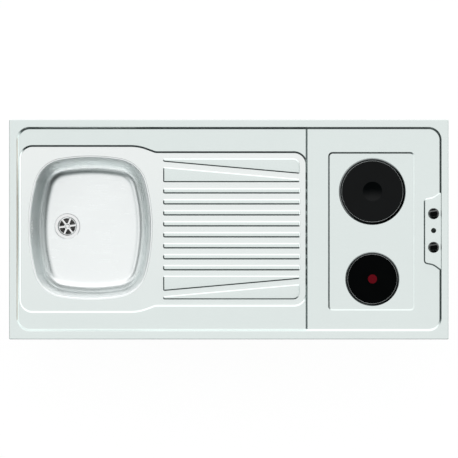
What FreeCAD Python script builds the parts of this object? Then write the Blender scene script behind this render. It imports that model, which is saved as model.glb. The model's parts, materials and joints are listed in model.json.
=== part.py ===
import FreeCAD, Part
import math
import os
import re

import Sketcher
from FreeCAD import Placement, Rotation, Vector

# A lay-on kitchenette top: one pressed steel sheet with a bowl, a ribbed drainer and a two-plate
# hob with its two knobs. Origin: middle of the seat plane that lies on the cabinet.
# +X to the hob side, +Y to the wall, +Z up. Millimetres.

os.makedirs("parts", exist_ok=True)
doc = FreeCAD.newDocument("KitchenetteTop")

# Driving sizes: (alias, value, what it is)
SIZES = [
    # the sheet and its rim
    ("top_length", 1200, "outer length of the top"),
    ("top_depth", 600, "outer depth of the top"),
    ("rim_height", 38, "rim above the seat plane"),
    ("edge_round", 3, "plan radius of the folded corners"),
    ("steel", 0.8, "thickness of the pressed sheet"),
    ("rim_left", 23, "width of the flat rim, left"),
    ("rim_right", 19, "width of the flat rim, right"),
    ("rim_back", 20, "width of the flat rim, back"),
    ("rim_front", 22, "width of the flat rim, front"),
    ("step_run", 5.5, "width in plan of a pressed step"),
    ("step_round", 36, "corner radius of the outer step at the rim"),
    # levels below the rim
    ("hob_drop", 4, "hob deck below the rim"),
    ("sink_drop", 7, "sink deck below the rim"),
    ("well_drop", 11, "drainer and bowl surround below the rim"),
    ("hob_length", 385, "hob deck from the divider to the right edge"),
    # the sunk surround of bowl and drainer, measured at its foot
    ("well_inset_back", 74.5, "back line beside the bowl, from the back edge"),
    ("well_inset_front", 77.5, "front line beside the bowl, from the front edge"),
    ("drain_inset", 17, "both lines beside the ribs draw in by this"),
    ("shoulder_lead", 36.5, "where the lines start to draw in, before the bowl's right end"),
    ("neck_lag", 8.5, "where they have drawn in, past the bowl's right end"),
    ("shoulder_round", 126, "long round at the shoulder"),
    ("neck_round", 29, "short round at the neck"),
    ("well_round", 31, "corner radius at the foot"),
    ("well_run", 13.75, "plan growth of the surround from its foot to the rim level"),
    # ribs and wedges of the drainer
    ("rib_lag", 31.5, "left end of the ribs, past the bowl's right end"),
    ("rib_lead", 22, "right end of the ribs, before the divider"),
    ("rib_shift", -0.8, "ribs from the middle of the drainer"),
    ("rib_pitch", 30, "rib spacing"),
    ("rib_count", 8, "number of ribs"),
    ("rib_width", 11.4, "rib width at half height"),
    ("rib_rise", 3, "height of ribs and wedges"),
    ("rib_run", 3, "width in plan of their slopes"),
    ("wedge_margin", 16, "outer wedges inside the back and front lines"),
    ("wedge_span", 77.7, "far side of the inner wedges from those lines"),
    ("wedge_narrow", 5.7, "narrow end of a wedge"),
    ("wedge_wide", 38.5, "wide end of a wedge"),
    ("wedge_short", 1, "wedges end short of the ribs"),
    ("wedge_round", 16, "radius of the two outer wedge corners"),
    ("pressed_corner", 1, "plan radius of rib and wedge corners at their tops"),
    # bowl
    ("bowl_margin", 52.5, "left edge of the top to the bowl opening"),
    ("bowl_shift", 3.1, "bowl from the middle of its surround"),
    ("bowl_half_x", 169, "half the opening along X"),
    ("bowl_side", 28, "surround before and behind the bowl"),
    ("bowl_bulge", 480, "radius of the bulged sides"),
    ("bowl_corner", 88, "corner radius of the opening"),
    ("bowl_ledge", 5, "ledge between opening and bowl wall"),
    ("bowl_depth", 150, "floor below the surround"),
    ("bowl_lean", 13, "how far the walls lean in"),
    ("bowl_sweep", 36, "radius between wall and floor"),
    ("bowl_steel", 0.9, "wall thickness of the bowl"),
    ("bowl_flange", 8, "flange outside the opening"),
    ("bowl_flange_thick", 1.2, "thickness of that flange"),
    # hob
    ("field_margin", 55.8, "left edge of the sunk hob field, from the divider"),
    ("field_inset_right", 92.1, "its right edge, from the right edge of the top"),
    ("field_inset_back", 88.1, "its back edge, from the back edge"),
    ("field_inset_front", 78.2, "its front edge, from the front edge"),
    ("field_drop", 1.6, "field below the hob deck"),
    ("field_run", 5, "width in plan of its step"),
    ("field_round", 12.5, "its corner radius"),
    ("plate_inset", 121.2, "middle of both hotplates, from the field's left edge"),
    ("rear_inset", 107.9, "middle of the rear hotplate, from the field's back edge"),
    ("front_inset", 86.8, "middle of the front hotplate, from the field's front edge"),
    ("rear_radius", 83, "cast face of the rear hotplate"),
    ("front_radius", 67, "cast face of the front hotplate"),
    ("rear_ring", 91.5, "outer radius of the rear trim ring"),
    ("front_ring", 74, "outer radius of the front trim ring"),
    ("rear_dish", 26.5, "sunk middle of the rear hotplate"),
    ("front_dish", 12.5, "seat of the red dot"),
    ("plate_rise", 9, "cast face above the field"),
    ("plate_sink", 8, "casting below the field"),
    ("plate_lip", 3, "overhang of the cast face over its neck"),
    # control strip
    ("strip_inset", 68, "foot of the raised control strip, from the right edge"),
    ("strip_back", 84.5, "its back corner"),
    ("strip_front", -93.5, "its front corner"),
    ("strip_flare", 0.41, "slope of its two flared ends"),
    ("strip_rise", 2.5, "strip above the hob deck"),
    ("strip_run", 5, "width in plan of its slopes"),
    ("strip_round", 10, "radius of its corners"),
    ("knob_inset", 41, "axis of knobs and lamp, from the right edge"),
    ("rear_knob_y", 43.3, "axis of the rear knob"),
    ("front_knob_y", -48.5, "axis of the front knob"),
    ("lamp_y", -2.8, "axis of the lamp"),
    ("knob_radius", 15.3, "radius of a knob"),
    ("knob_skirt", 7, "height of the knob's round skirt"),
    ("knob_height", 19, "whole height of a knob"),
    ("grip_width", 15, "width of the grip bar"),
    ("grip_turn", 8, "turn of the grip bar at rest, degrees"),
    ("shaft_radius", 3, "radius of the switch shaft"),
    ("lamp_radius", 6.7, "radius of the lamp lens"),
    # timber below
    ("fit_gap", 0.2, "gap between timber and steel at the rim"),
    ("board_thick", 16, "board under the drainer"),
    ("rail_width", 18, "width of the two cross rails"),
    ("runner_half", 20, "half width of the middle runner"),
    # waste
    ("waste_offset", 69.5, "axis of the waste, left of the bowl's middle"),
    ("waste_shift", 4.4, "axis of the waste, behind the bowl's middle"),
    ("waste_flange", 35.5, "radius of the strainer flange"),
    ("waste_hole", 28, "radius of the hole in the bowl floor"),
    ("thread_radius", 23.9, "outlet thread, G 1 1/2"),
    ("thread_length", 22, "length of the outlet thread"),
    ("waste_length", 78, "waste body below the bowl floor"),
    ("overflow_shift", -2.4, "middle of the overflow from the bowl's middle"),
    ("overflow_level", -2, "height of the overflow holes"),
    ("hose_radius", 10, "overflow hose"),
    ("hose_bore", 8.1, "bore of the hose"),
    # tray under the hob
    ("tray_depth", 30, "tray floor below the seat plane"),
    ("tray_top", 20, "tray edge above the seat plane"),
    ("tray_inset_front", 60, "front wall of the tray, from the front edge"),
    ("tray_inset_back", 75, "back wall of the tray, from the back edge"),
    ("gland_offset", 115, "axis of the cable gland, from the divider"),
    ("gland_level", -10, "axis of the cable gland"),
    ("gland_bore", 5, "radius of the cable the gland takes"),
    # straps
    ("strap_inset", 38, "middle of the fixing straps from the front and back edges"),
    ("strap_width", 22, "width of a strap"),
    ("strap_drop", 26, "strap below the seat plane"),
    ("strap_hole", 2.75, "radius of the lower strap hole"),
    ("slack", 0.1, "gap between round pieces that fit"),
    ("running_gap", 0.05, "radial gap of the shafts in their bearings"),
]

# Places that follow from the sizes: (alias, expression, what it is)
PLACES = [
    ("divider_x", "top_length / 2 - hob_length", "edge of the hob deck beside the drainer"),
    ("well_back", "top_depth / 2 - well_inset_back", "back line beside the bowl"),
    ("well_front", "well_inset_front - top_depth / 2", "front line beside the bowl"),
    ("drain_back", "well_back - drain_inset", "back line beside the ribs"),
    ("drain_front", "well_front + drain_inset", "front line beside the ribs"),
    ("bowl_x", "bowl_margin + bowl_half_x - top_length / 2", "middle of the bowl"),
    ("bowl_y", "(well_back + well_front) / 2 + bowl_shift", "middle of the bowl"),
    ("bowl_half_y", "(well_back - well_front) / 2 - bowl_side", "half the opening along Y"),
    ("bowl_right", "bowl_x + bowl_half_x", "right end of the opening"),
    ("shoulder_x", "bowl_right - shoulder_lead", "where the lines start to draw in"),
    ("neck_x", "bowl_right + neck_lag", "where they have drawn in"),
    ("rib_left", "bowl_right + rib_lag", "left end of the ribs"),
    ("rib_right", "divider_x - rib_lead", "right end of the ribs"),
    ("rib_reach", "rib_pitch * (rib_count - 1)", "first rib to last"),
    ("rib_first", "(drain_back + drain_front - rib_reach) / 2 + rib_shift", "middle of the front rib"),
    ("field_left", "divider_x + field_margin", "left edge of the hob field"),
    ("field_right", "top_length / 2 - field_inset_right", "right edge"),
    ("field_back", "top_depth / 2 - field_inset_back", "back edge"),
    ("field_front", "field_inset_front - top_depth / 2", "front edge"),
    ("plate_x", "field_left + plate_inset", "middle of both hotplates"),
    ("rear_y", "field_back - rear_inset", "middle of the rear hotplate"),
    ("front_y", "field_front + front_inset", "middle of the front hotplate"),
    ("strip_left", "top_length / 2 - strip_inset", "foot of the control strip"),
    ("knob_x", "top_length / 2 - knob_inset", "axis of knobs and lamp"),
    ("waste_x", "bowl_x - waste_offset", "axis of the waste"),
    ("waste_y", "bowl_y + waste_shift", "axis of the waste"),
    ("overflow_y", "bowl_y + overflow_shift", "middle of the overflow"),
    ("tray_front", "tray_inset_front - top_depth / 2", "front wall of the tray"),
    ("tray_back", "top_depth / 2 - tray_inset_back", "back wall of the tray"),
    ("gland_x", "divider_x + gland_offset", "axis of the cable gland"),
    ("strap_y", "top_depth / 2 - strap_inset", "middle of the back straps"),
]

sheet = doc.addObject("Spreadsheet::Sheet", "Sizes")
for row, (alias, value, meaning) in enumerate(SIZES + PLACES, start=1):
    sheet.set("A%d" % row, alias)
    sheet.set("B%d" % row, "=" + value if isinstance(value, str) else str(value))
    sheet.setAlias("B%d" % row, alias)
    sheet.set("C%d" % row, meaning)
doc.recompute()


# ---- helpers: every size is an expression on the sheet, such as "rim_height - steel" ----

def cells(text):
    """The expression with each alias written as a cell of the sheet."""
    return re.sub(r"\b[a-z_]\w*\b(?!\()", lambda word: "Sizes." + word.group(0), str(text))


def number(text):
    """The value that an expression has now."""
    return float(sheet.evalExpression(cells(text)))


def bind(thing, **properties):
    for name, text in properties.items():
        thing.setExpression(name, cells(text))


def place(thing, x="0", y="0", z="0"):
    for axis, text in zip("xyz", (x, y, z)):
        thing.setExpression("Placement.Base." + axis, cells(text))
    return thing


def box(name, low, size):
    solid = doc.addObject("Part::Box", name)
    bind(solid, Length=size[0], Width=size[1], Height=size[2])
    return place(solid, *low)


TURNS = {
    "+Z": Rotation(),
    "+X": Rotation(Vector(0, 1, 0), 90),
    "-X": Rotation(Vector(0, 1, 0), -90),
    "+Y": Rotation(Vector(1, 0, 0), -90),
    "-Y": Rotation(Vector(1, 0, 0), 90),
    "-Z": Rotation(Vector(1, 0, 0), 180),
}


def rod(name, foot, radius, length, way="+Z"):
    solid = doc.addObject("Part::Cylinder", name)
    solid.Placement = Placement(Vector(), TURNS[way])
    bind(solid, Radius=radius, Height=length)
    return place(solid, *foot)


def hexagon(name, foot, radius, length, way="+Z"):
    solid = doc.addObject("Part::Prism", name)
    solid.Polygon = 6
    solid.Placement = Placement(Vector(), TURNS[way])
    bind(solid, Circumradius=radius, Height=length)
    return place(solid, *foot)


def cut(name, base, *tools):
    tool = tools[0] if len(tools) == 1 else group(name + "_tools", *tools)
    result = doc.addObject("Part::Cut", name)
    result.Base = base
    result.Tool = tool
    return result


def fuse(name, *solids):
    result = doc.addObject("Part::MultiFuse", name)
    result.Shapes = list(solids)
    result.Refine = True
    return result


def common(name, first, second):
    result = doc.addObject("Part::Common", name)
    result.Base = first
    result.Tool = second
    return result


def group(name, *solids):
    result = doc.addObject("Part::Compound", name)
    result.Links = list(solids)
    return result


def sketch_on(body, name, role="XY_Plane", level="0"):
    sketch = body.newObject("Sketcher::SketchObject", name)
    plane = next(item for item in body.Origin.OriginFeatures if item.Role == role)
    sketch.AttachmentSupport = [(plane, "")]
    sketch.MapMode = "FlatFace"
    sketch.setExpression("AttachmentOffset.Base.z", cells(level))
    return sketch


class Rules:
    """Collects a sketch's constraints, each with the expression that drives it."""

    def __init__(self, sketch):
        self.sketch = sketch
        self.rules = []
        self.drives = []

    def add(self, kind, *where, drive=None):
        if drive is not None:
            self.drives.append((len(self.rules), drive))
            where = where + (number(drive),)
        self.rules.append(Sketcher.Constraint(kind, *where))

    def point(self, geometry, end, x, y):
        self.add("DistanceX", -1, 1, geometry, end, drive=x)
        self.add("DistanceY", -1, 1, geometry, end, drive=y)

    def apply(self):
        self.sketch.addConstraint(self.rules)
        for index, drive in self.drives:
            self.sketch.setExpression("Constraints[%d]" % index, cells(drive))


def round_corner(before, here, after, radius):
    """Where a corner's round starts and ends, its arc, and whether the outline turns left there."""
    back = (before - here).normalize()
    ahead = (after - here).normalize()
    half = back.getAngle(ahead) / 2
    start = here + back * (radius / math.tan(half))
    end = here + ahead * (radius / math.tan(half))
    centre = here + (back + ahead).normalize() * (radius / math.sin(half))
    left = (here - before).cross(after - here).z > 0
    first, last = (start, end) if left else (end, start)
    angle_first = math.atan2(first.y - centre.y, first.x - centre.x)
    angle_last = math.atan2(last.y - centre.y, last.x - centre.x)
    if angle_last < angle_first:
        angle_last += 2 * math.pi
    circle = Part.Circle(centre, Vector(0, 0, 1), radius)
    return start, end, Part.ArcOfCircle(circle, angle_first, angle_last), left


def draw_outline(sketch, corners):
    """A closed outline of straight sides, anticlockwise; each corner is (x, y, radius)."""
    count = len(corners)
    spots = [Vector(number(x), number(y), 0) for x, y, _ in corners]
    rounds = []
    for index, (_, _, radius) in enumerate(corners):
        before, here, after = spots[index - 1], spots[index], spots[(index + 1) % count]
        rounded = number(radius) > 0
        rounds.append(round_corner(before, here, after, number(radius)) if rounded else None)
    leave = [spots[i] if rounds[i] is None else rounds[i][1] for i in range(count)]
    reach = [spots[i] if rounds[i] is None else rounds[i][0] for i in range(count)]
    sketch.addGeometry([Part.LineSegment(leave[i], reach[(i + 1) % count]) for i in range(count)])
    rules = Rules(sketch)
    for index, (x, y, radius) in enumerate(corners):
        incoming, outgoing = (index - 1) % count, index
        if rounds[index] is None:
            rules.add("Coincident", incoming, 2, outgoing, 1)
            rules.point(outgoing, 1, x, y)
            continue
        arc = sketch.addGeometry(rounds[index][2])
        corner = sketch.addGeometry(Part.Point(spots[index]), True)
        first, last = (1, 2) if rounds[index][3] else (2, 1)
        rules.point(corner, 1, x, y)
        rules.add("PointOnObject", corner, 1, incoming)
        rules.add("PointOnObject", corner, 1, outgoing)
        rules.add("Tangent", incoming, 2, arc, first)
        rules.add("Tangent", arc, last, outgoing, 1)
        rules.add("Radius", arc, drive=radius)
    rules.apply()


def draw_oval(sketch, inset):
    """The bowl's outline, four bulged sides and four round corners, drawn inset from the opening."""
    half_x = "bowl_half_x - (%s)" % inset
    half_y = "bowl_half_y - (%s)" % inset
    bulge = "bowl_bulge - (%s)" % inset
    corner = "bowl_corner - (%s)" % inset
    middle = Vector(number("bowl_x"), number("bowl_y"), 0)
    side_gap = number(half_x) - number(bulge)
    end_gap = number(half_y) - number(bulge)
    reach = number(bulge) - number(corner)
    # the corner's centre is as far from the centre of each bulged side
    flat = Vector(-side_gap, end_gap, 0)
    across = Vector(-flat.y, flat.x, 0).normalize() * math.sqrt(reach ** 2 - (flat.Length / 2) ** 2)
    options = [Vector(side_gap, 0, 0) + flat / 2 + across, Vector(side_gap, 0, 0) + flat / 2 - across]
    corner_middle = max(options, key=lambda spot: spot.x + spot.y)
    side_turn = math.atan2(corner_middle.y, corner_middle.x - side_gap)
    end_turn = math.atan2(corner_middle.y - end_gap, corner_middle.x)
    mirrored = [(1, 1), (-1, 1), (-1, -1), (1, -1)]
    rules = Rules(sketch)
    for quarter in range(4):
        along_x = quarter % 2 == 0
        turn = quarter * math.pi / 2
        gap = side_gap if along_x else end_gap
        spread = side_turn if along_x else math.pi / 2 - end_turn
        centre = middle + Vector(math.cos(turn), math.sin(turn), 0) * gap
        circle = Part.Circle(centre, Vector(0, 0, 1), number(bulge))
        sketch.addGeometry(Part.ArcOfCircle(circle, turn - spread, turn + spread))
        sign_x, sign_y = mirrored[quarter]
        centre = middle + Vector(sign_x * corner_middle.x, sign_y * corner_middle.y, 0)
        circle = Part.Circle(centre, Vector(0, 0, 1), number(corner))
        low, high = (side_turn, end_turn) if along_x else (math.pi - end_turn, math.pi - side_turn)
        shift = turn if along_x else turn - math.pi / 2
        sketch.addGeometry(Part.ArcOfCircle(circle, low + shift, high + shift))
    for quarter in range(4):
        side, round_arc = 2 * quarter, 2 * quarter + 1
        rules.add("Radius", side, drive=bulge)
        rules.add("Radius", round_arc, drive=corner)
        rules.add("Tangent", side, 2, round_arc, 1)
        rules.add("Tangent", round_arc, 2, (side + 2) % 8, 1)
    rules.point(0, 3, "bowl_x + %s - (%s)" % (half_x, bulge), "bowl_y")
    rules.point(2, 3, "bowl_x", "bowl_y + %s - (%s)" % (half_y, bulge))
    rules.point(4, 3, "bowl_x - (%s) + %s" % (half_x, bulge), "bowl_y")
    rules.point(6, 3, "bowl_x", "bowl_y - (%s) + %s" % (half_y, bulge))
    rules.apply()


def draw_profile(sketch, corners):
    """A closed outline of straight sides through the given corners."""
    count = len(corners)
    spots = [Vector(number(x), number(y), 0) for x, y in corners]
    sketch.addGeometry([Part.LineSegment(spots[i], spots[(i + 1) % count]) for i in range(count)])
    rules = Rules(sketch)
    for index, (x, y) in enumerate(corners):
        rules.add("Coincident", index, 2, (index + 1) % count, 1)
        rules.point(index, 1, x, y)
    rules.apply()


def turned(name, profile, at=("0", "0", "0"), way="+Z"):
    """A piece turned about its own axis from a profile of (radius, height) corners."""
    body = doc.addObject("PartDesign::Body", name)
    sketch = sketch_on(body, name + "_profile", "XZ_Plane")
    draw_profile(sketch, profile)
    spin = body.newObject("PartDesign::Revolution", name + "_turning")
    spin.Profile = sketch
    spin.ReferenceAxis = (sketch, ["V_Axis"])
    spin.Angle = 360
    body.Tip = spin
    body.Placement = Placement(Vector(), TURNS[way])
    return place(body, *at)


def plate(name, corners, low, thick):
    """A flat piece with a rounded outline, from one height upwards."""
    body = doc.addObject("PartDesign::Body", name)
    sketch = sketch_on(body, name + "_outline", level=low)
    draw_outline(sketch, corners)
    pad = body.newObject("PartDesign::Pad", name + "_pad")
    pad.Profile = sketch
    bind(pad, Length=thick)
    body.Tip = pad
    return body


def rectangle(left, right, front, back, radius="0"):
    return [(left, front, radius), (right, front, radius), (right, back, radius), (left, back, radius)]


# ---- the pressed sheet ----

LEFT, RIGHT = "-top_length / 2", "top_length / 2"
FRONT, BACK = "-top_depth / 2", "top_depth / 2"
STEP_LEFT, STEP_RIGHT = "-top_length / 2 + rim_left", "top_length / 2 - rim_right"
STEP_FRONT, STEP_BACK = "-top_depth / 2 + rim_front", "top_depth / 2 - rim_back"
BURIED_LEFT = "divider_x - 60"
STRIP_END = "top_length / 2 - rim_right / 2"


def step(body, name, kind, drop, sections):
    """A pressed step: a straight-sided form between two outlines, each (corners, level)."""
    sketches = []
    for part, (corners, level) in zip(("edge", "foot"), sections):
        sketch = sketch_on(body, "%s_%s" % (name, part), level="%s - (%s)" % (level, drop))
        draw_outline(sketch, corners)
        sketches.append(sketch)
    form = body.newObject("PartDesign::" + kind, name)
    form.Profile = sketches[0]
    form.Sections = [sketches[1]]
    form.Ruled = True
    body.Tip = form
    return form


DIVIDER_FOOT = "divider_x - step_run"


def divider_head(drop):
    """Where the divider's slope, drawn on from the hob deck, reaches the rim level."""
    return "divider_x + step_run * hob_drop / (%s - hob_drop)" % drop


def sink_deck(shift, radius):
    """The sunk deck round bowl and drainer; its right side is the divider."""
    inner = divider_head("sink_drop") if shift == "0" else DIVIDER_FOOT
    return [
        ("%s + %s" % (STEP_LEFT, shift), "%s + %s" % (STEP_FRONT, shift), radius),
        (inner, "%s + %s" % (STEP_FRONT, shift), "0"),
        (inner, "%s - %s" % (STEP_BACK, shift), "0"),
        ("%s + %s" % (STEP_LEFT, shift), "%s - %s" % (STEP_BACK, shift), radius),
    ]


def hob_deck(shift, radius):
    """The hob deck; its left side lies over the sink deck."""
    return [
        ("%s + %s" % (BURIED_LEFT, shift), "%s + %s" % (STEP_FRONT, shift), "0"),
        ("%s - %s" % (STEP_RIGHT, shift), "%s + %s" % (STEP_FRONT, shift), radius),
        ("%s - %s" % (STEP_RIGHT, shift), "%s - %s" % (STEP_BACK, shift), radius),
        ("%s + %s" % (BURIED_LEFT, shift), "%s - %s" % (STEP_BACK, shift), "0"),
    ]


def surround(grow, left, right):
    """The sunk surround: wide beside the bowl, drawn in beside the ribs."""
    corner = "well_round + %s" % grow
    shoulder = "shoulder_round + %s" % grow
    neck = "neck_round - %s" % grow
    return [
        (left, "well_front - %s" % grow, corner),
        ("shoulder_x", "well_front - %s" % grow, shoulder),
        ("neck_x", "drain_front - %s" % grow, neck),
        (right, "drain_front - %s" % grow, corner),
        (right, "drain_back + %s" % grow, corner),
        ("neck_x", "drain_back + %s" % grow, neck),
        ("shoulder_x", "well_back + %s" % grow, shoulder),
        (left, "well_back + %s" % grow, corner),
    ]


def wedge(line, inward, inner):
    """A wedge's corners (x, y, side in X, side in Y, extra radius), anticlockwise.

    It lies inside the back or front line and narrows to the left, or to the right if inner.
    """
    base = "%s + %d * %s" % (line, inward, "wedge_span" if inner else "wedge_margin")
    grows = -inward if inner else inward
    at_left = "%s + %d * %s" % (base, grows, "wedge_wide" if inner else "wedge_narrow")
    at_right = "%s + %d * %s" % (base, grows, "wedge_narrow" if inner else "wedge_wide")
    round_end = "0" if inner else "wedge_round"
    left, right = "rib_left", "rib_right - wedge_short"
    if grows > 0:
        return [(left, base, -1, -1, "0"), (right, base, 1, -1, round_end),
                (right, at_right, 1, 1, "0"), (left, at_left, -1, 1, "0")]
    return [(left, at_left, -1, -1, "0"), (right, at_right, 1, -1, "0"),
            (right, base, 1, 1, round_end), (left, base, -1, 1, "0")]


WEDGES = {
    "wedge_back_outer": wedge("drain_back", -1, False),
    "wedge_back_inner": wedge("drain_back", -1, True),
    "wedge_front_inner": wedge("drain_front", 1, True),
    "wedge_front_outer": wedge("drain_front", 1, False),
}


def grown(corners, grow, radius):
    """A wedge's corners moved out by a distance."""
    moved = []
    for x, y, side_x, side_y, extra in corners:
        moved_x = "%s + %d * (%s)" % (x, side_x, grow)
        moved_y = "%s + %d * (%s)" % (y, side_y, grow)
        moved.append((moved_x, moved_y, "%s + %s" % (radius, extra)))
    return moved


def control_strip(grow):
    """The raised strip for the knobs; its right end runs into the rim."""
    back = "strip_back + %s" % grow
    front = "strip_front - %s" % grow
    flare = "strip_flare * (%s - strip_left)" % STRIP_END
    return [
        ("strip_left - %s" % grow, front, "strip_round"),
        (STRIP_END, "%s - %s" % (front, flare), "0"),
        (STRIP_END, "%s + %s" % (back, flare), "0"),
        ("strip_left - %s" % grow, back, "strip_round"),
    ]


def pressed_form(name, drop, inset):
    """The block under the sheet's face: the sheet is the space between two of these."""
    body = doc.addObject("PartDesign::Body", name)
    base = sketch_on(body, name + "_block_outline", level="-2 * (%s)" % drop)
    draw_outline(base, rectangle("%s + %s" % (LEFT, inset), "%s - %s" % (RIGHT, inset),
                                 "%s + %s" % (FRONT, inset), "%s - %s" % (BACK, inset),
                                 "edge_round - %s" % inset))
    block = body.newObject("PartDesign::Pad", name + "_block")
    block.Profile = base
    bind(block, Length="rim_height + (%s)" % drop)
    body.Tip = block
    rim, deck = "rim_height", "rim_height - hob_drop"
    floor = "rim_height - well_drop"
    step(body, name + "_sink_deck", "SubtractiveLoft", drop,
         [(sink_deck("0", "step_round"), rim),
          (sink_deck("step_run", "step_round - step_run"), "rim_height - sink_drop")])
    step(body, name + "_hob_deck", "SubtractiveLoft", drop,
         [(hob_deck("0", "step_round"), rim), (hob_deck("step_run", "step_round - step_run"), deck)])
    step(body, name + "_surround", "SubtractiveLoft", drop,
         [(surround("well_run", STEP_LEFT, divider_head("well_drop")), rim),
          (surround("0", STEP_LEFT + " + step_run", DIVIDER_FOOT), floor)])
    step(body, name + "_field", "SubtractiveLoft", drop,
         [(rectangle("field_left", "field_right", "field_front", "field_back", "field_round"), deck),
          (rectangle("field_left + field_run", "field_right - field_run", "field_front + field_run",
                     "field_back - field_run", "field_round - field_run"), deck + " - field_drop")])
    step(body, name + "_strip", "AdditiveLoft", drop,
         [(control_strip("0"), deck), (control_strip("-strip_run"), deck + " + strip_rise")])
    for wedge, corners in WEDGES.items():
        step(body, "%s_%s" % (name, wedge), "AdditiveLoft", drop,
             [(grown(corners, "rib_run / 2", "pressed_corner + rib_run"), floor),
              (grown(corners, "-rib_run / 2", "pressed_corner"), floor + " + rib_rise")])
    rib = step(body, name + "_rib", "AdditiveLoft", drop,
               [(rectangle("rib_left - rib_run / 2", "rib_right + rib_run / 2",
                           "rib_first - (rib_width + rib_run) / 2", "rib_first + (rib_width + rib_run) / 2",
                           "pressed_corner + rib_run"), floor),
                (rectangle("rib_left + rib_run / 2", "rib_right - rib_run / 2",
                           "rib_first - (rib_width - rib_run) / 2", "rib_first + (rib_width - rib_run) / 2",
                           "pressed_corner"), floor + " + rib_rise")])
    ribs = body.newObject("PartDesign::LinearPattern", name + "_ribs")
    ribs.Originals = [rib]
    ribs.Direction = (rib.Profile[0], ["V_Axis"])
    bind(ribs, Length="rib_reach", Occurrences="rib_count")
    body.Tip = ribs
    return body


FIELD = "rim_height - hob_drop - field_drop"
STRIP_TOP = "rim_height - hob_drop + strip_rise"
STRIP_UNDER = STRIP_TOP + " - steel"
FLOOR_UNDER = "rim_height - well_drop - steel"


def oval_block(name, inset, low, high):
    body = doc.addObject("PartDesign::Body", name)
    sketch = sketch_on(body, name + "_outline", level=low)
    draw_oval(sketch, inset)
    pad = body.newObject("PartDesign::Pad", name + "_pad")
    pad.Profile = sketch
    bind(pad, Length="%s - (%s)" % (high, low))
    body.Tip = pad
    return body


def worktop_sheet():
    face = pressed_form("face_form", "0", "0")
    under = pressed_form("under_form", "steel", "steel")
    holes = [oval_block("bowl_opening", "0", "0", "rim_height")]
    for name in ("rear", "front"):
        holes.append(rod(name + "_plate_hole", ("plate_x", name + "_y", "0"),
                         name + "_radius - plate_lip + 1", "rim_height"))
        holes.append(rod(name + "_shaft_hole", ("knob_x", name + "_knob_y", "0"), "shaft_radius + 2",
                         "rim_height"))
    holes.append(rod("lamp_hole", ("knob_x", "lamp_y", "0"), "lamp_radius - 1.5", "rim_height"))
    return cut("worktop_sheet", cut("sheet_blank", face, under), *holes)


# ---- bowl ----

LEDGE = FLOOR_UNDER
BOWL_FLOOR = "rim_height - well_drop - bowl_depth"
BOWL_UNDER = BOWL_FLOOR + " - bowl_steel"


def bowl_form(name, grow):
    """The bowl as a block: leaning walls and a swept foot, grown outwards by a thickness."""
    body = doc.addObject("PartDesign::Body", name)
    top = sketch_on(body, name + "_top", level=LEDGE)
    draw_oval(top, "bowl_ledge - (%s)" % grow)
    foot = sketch_on(body, name + "_foot", level="%s - (%s)" % (BOWL_FLOOR, grow))
    draw_oval(foot, "bowl_ledge + bowl_lean - (%s)" % grow)
    wall = body.newObject("PartDesign::AdditiveLoft", name + "_wall")
    wall.Profile = top
    wall.Sections = [foot]
    wall.Ruled = True
    body.Tip = wall
    doc.recompute()
    lowest = wall.Shape.BoundBox.ZMin
    edges = ["Edge%d" % (index + 1) for index, edge in enumerate(wall.Shape.Edges)
             if edge.BoundBox.ZMax < lowest + 0.01]
    sweep = body.newObject("PartDesign::Fillet", name + "_sweep")
    sweep.Base = (wall, edges)
    bind(sweep, Radius="bowl_sweep + (%s)" % grow)
    body.Tip = sweep
    return body


def overflow_spots():
    """Six holes in two threes, either side of the overflow screw."""
    near, pitch = 6.8, 8.5
    return [side * (near + pitch * turn) for side in (-1, 1) for turn in range(3)]


def sink_bowl():
    inner = bowl_form("bowl_inside", "0")
    outer = bowl_form("bowl_outside", "bowl_steel")
    flange = oval_block("bowl_rim_plate", "-bowl_flange", LEDGE + " - bowl_flange_thick", LEDGE)
    holes = [rod("bowl_waste_hole", ("waste_x", "waste_y", BOWL_FLOOR + " - 5"), "waste_hole", "10")]
    for index, offset in enumerate(overflow_spots()):
        holes.append(rod("overflow_hole_%d" % index, ("bowl_x - bowl_half_x", "overflow_y + %s" % offset,
                                                      "overflow_level"), "2.5", "30", "+X"))
    holes.append(rod("overflow_screw_hole", ("bowl_x - bowl_half_x", "overflow_y", "overflow_level"),
                     "2.6", "30", "+X"))
    return cut("sink_bowl", fuse("bowl_skin", outer, flange), inner, *holes)


def bowl_pad():
    corners = rectangle("bowl_x - 18", "bowl_x + 92", "bowl_y - 75", "bowl_y + 75", "12")
    return plate("bowl_pad", corners, BOWL_UNDER + " - 3", "3")


# ---- timber frame ----

OUT_LEFT, OUT_RIGHT = LEFT + " + steel", RIGHT + " - steel"
OUT_FRONT, OUT_BACK = FRONT + " + steel", BACK + " - steel"
IN_LEFT, IN_RIGHT = STEP_LEFT + " - fit_gap", STEP_RIGHT + " + fit_gap"
IN_FRONT, IN_BACK = STEP_FRONT + " - fit_gap", STEP_BACK + " + fit_gap"
RIM_UNDER = "rim_height - steel"
BOWL_RAIL = "bowl_x + bowl_half_x + bowl_flange + 3.5"
HOB_RAIL = "divider_x + 2"
TRAY_LEFT = HOB_RAIL + " + rail_width"
TRAY_RIGHT = IN_RIGHT


def span(low, high):
    return "(%s) - (%s)" % (high, low)


def block(name, left, right, front, back, low, high):
    return box(name, (left, front, low), (span(left, right), span(front, back), span(low, high)))


def strap_screw_spots():
    """Where the strap screws enter the side battens: (side, y, z)."""
    return [(side, "%d * strap_y" % end, level) for side in (-1, 1) for end in (-1, 1)
            for level in ("tray_top - 6", "tray_top - 15")]


def wood_screw(name, at, way):
    """Round-headed wood screw; its head seats at the given point and its shank runs along the way."""
    profile = [("0", "-2.4"), ("2.2", "-2.4"), ("3.8", "-1.2"), ("3.8", "0"),
               ("1.9", "0"), ("1.9", "11"), ("0", "14")]
    return turned(name, profile, at, way)


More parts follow.
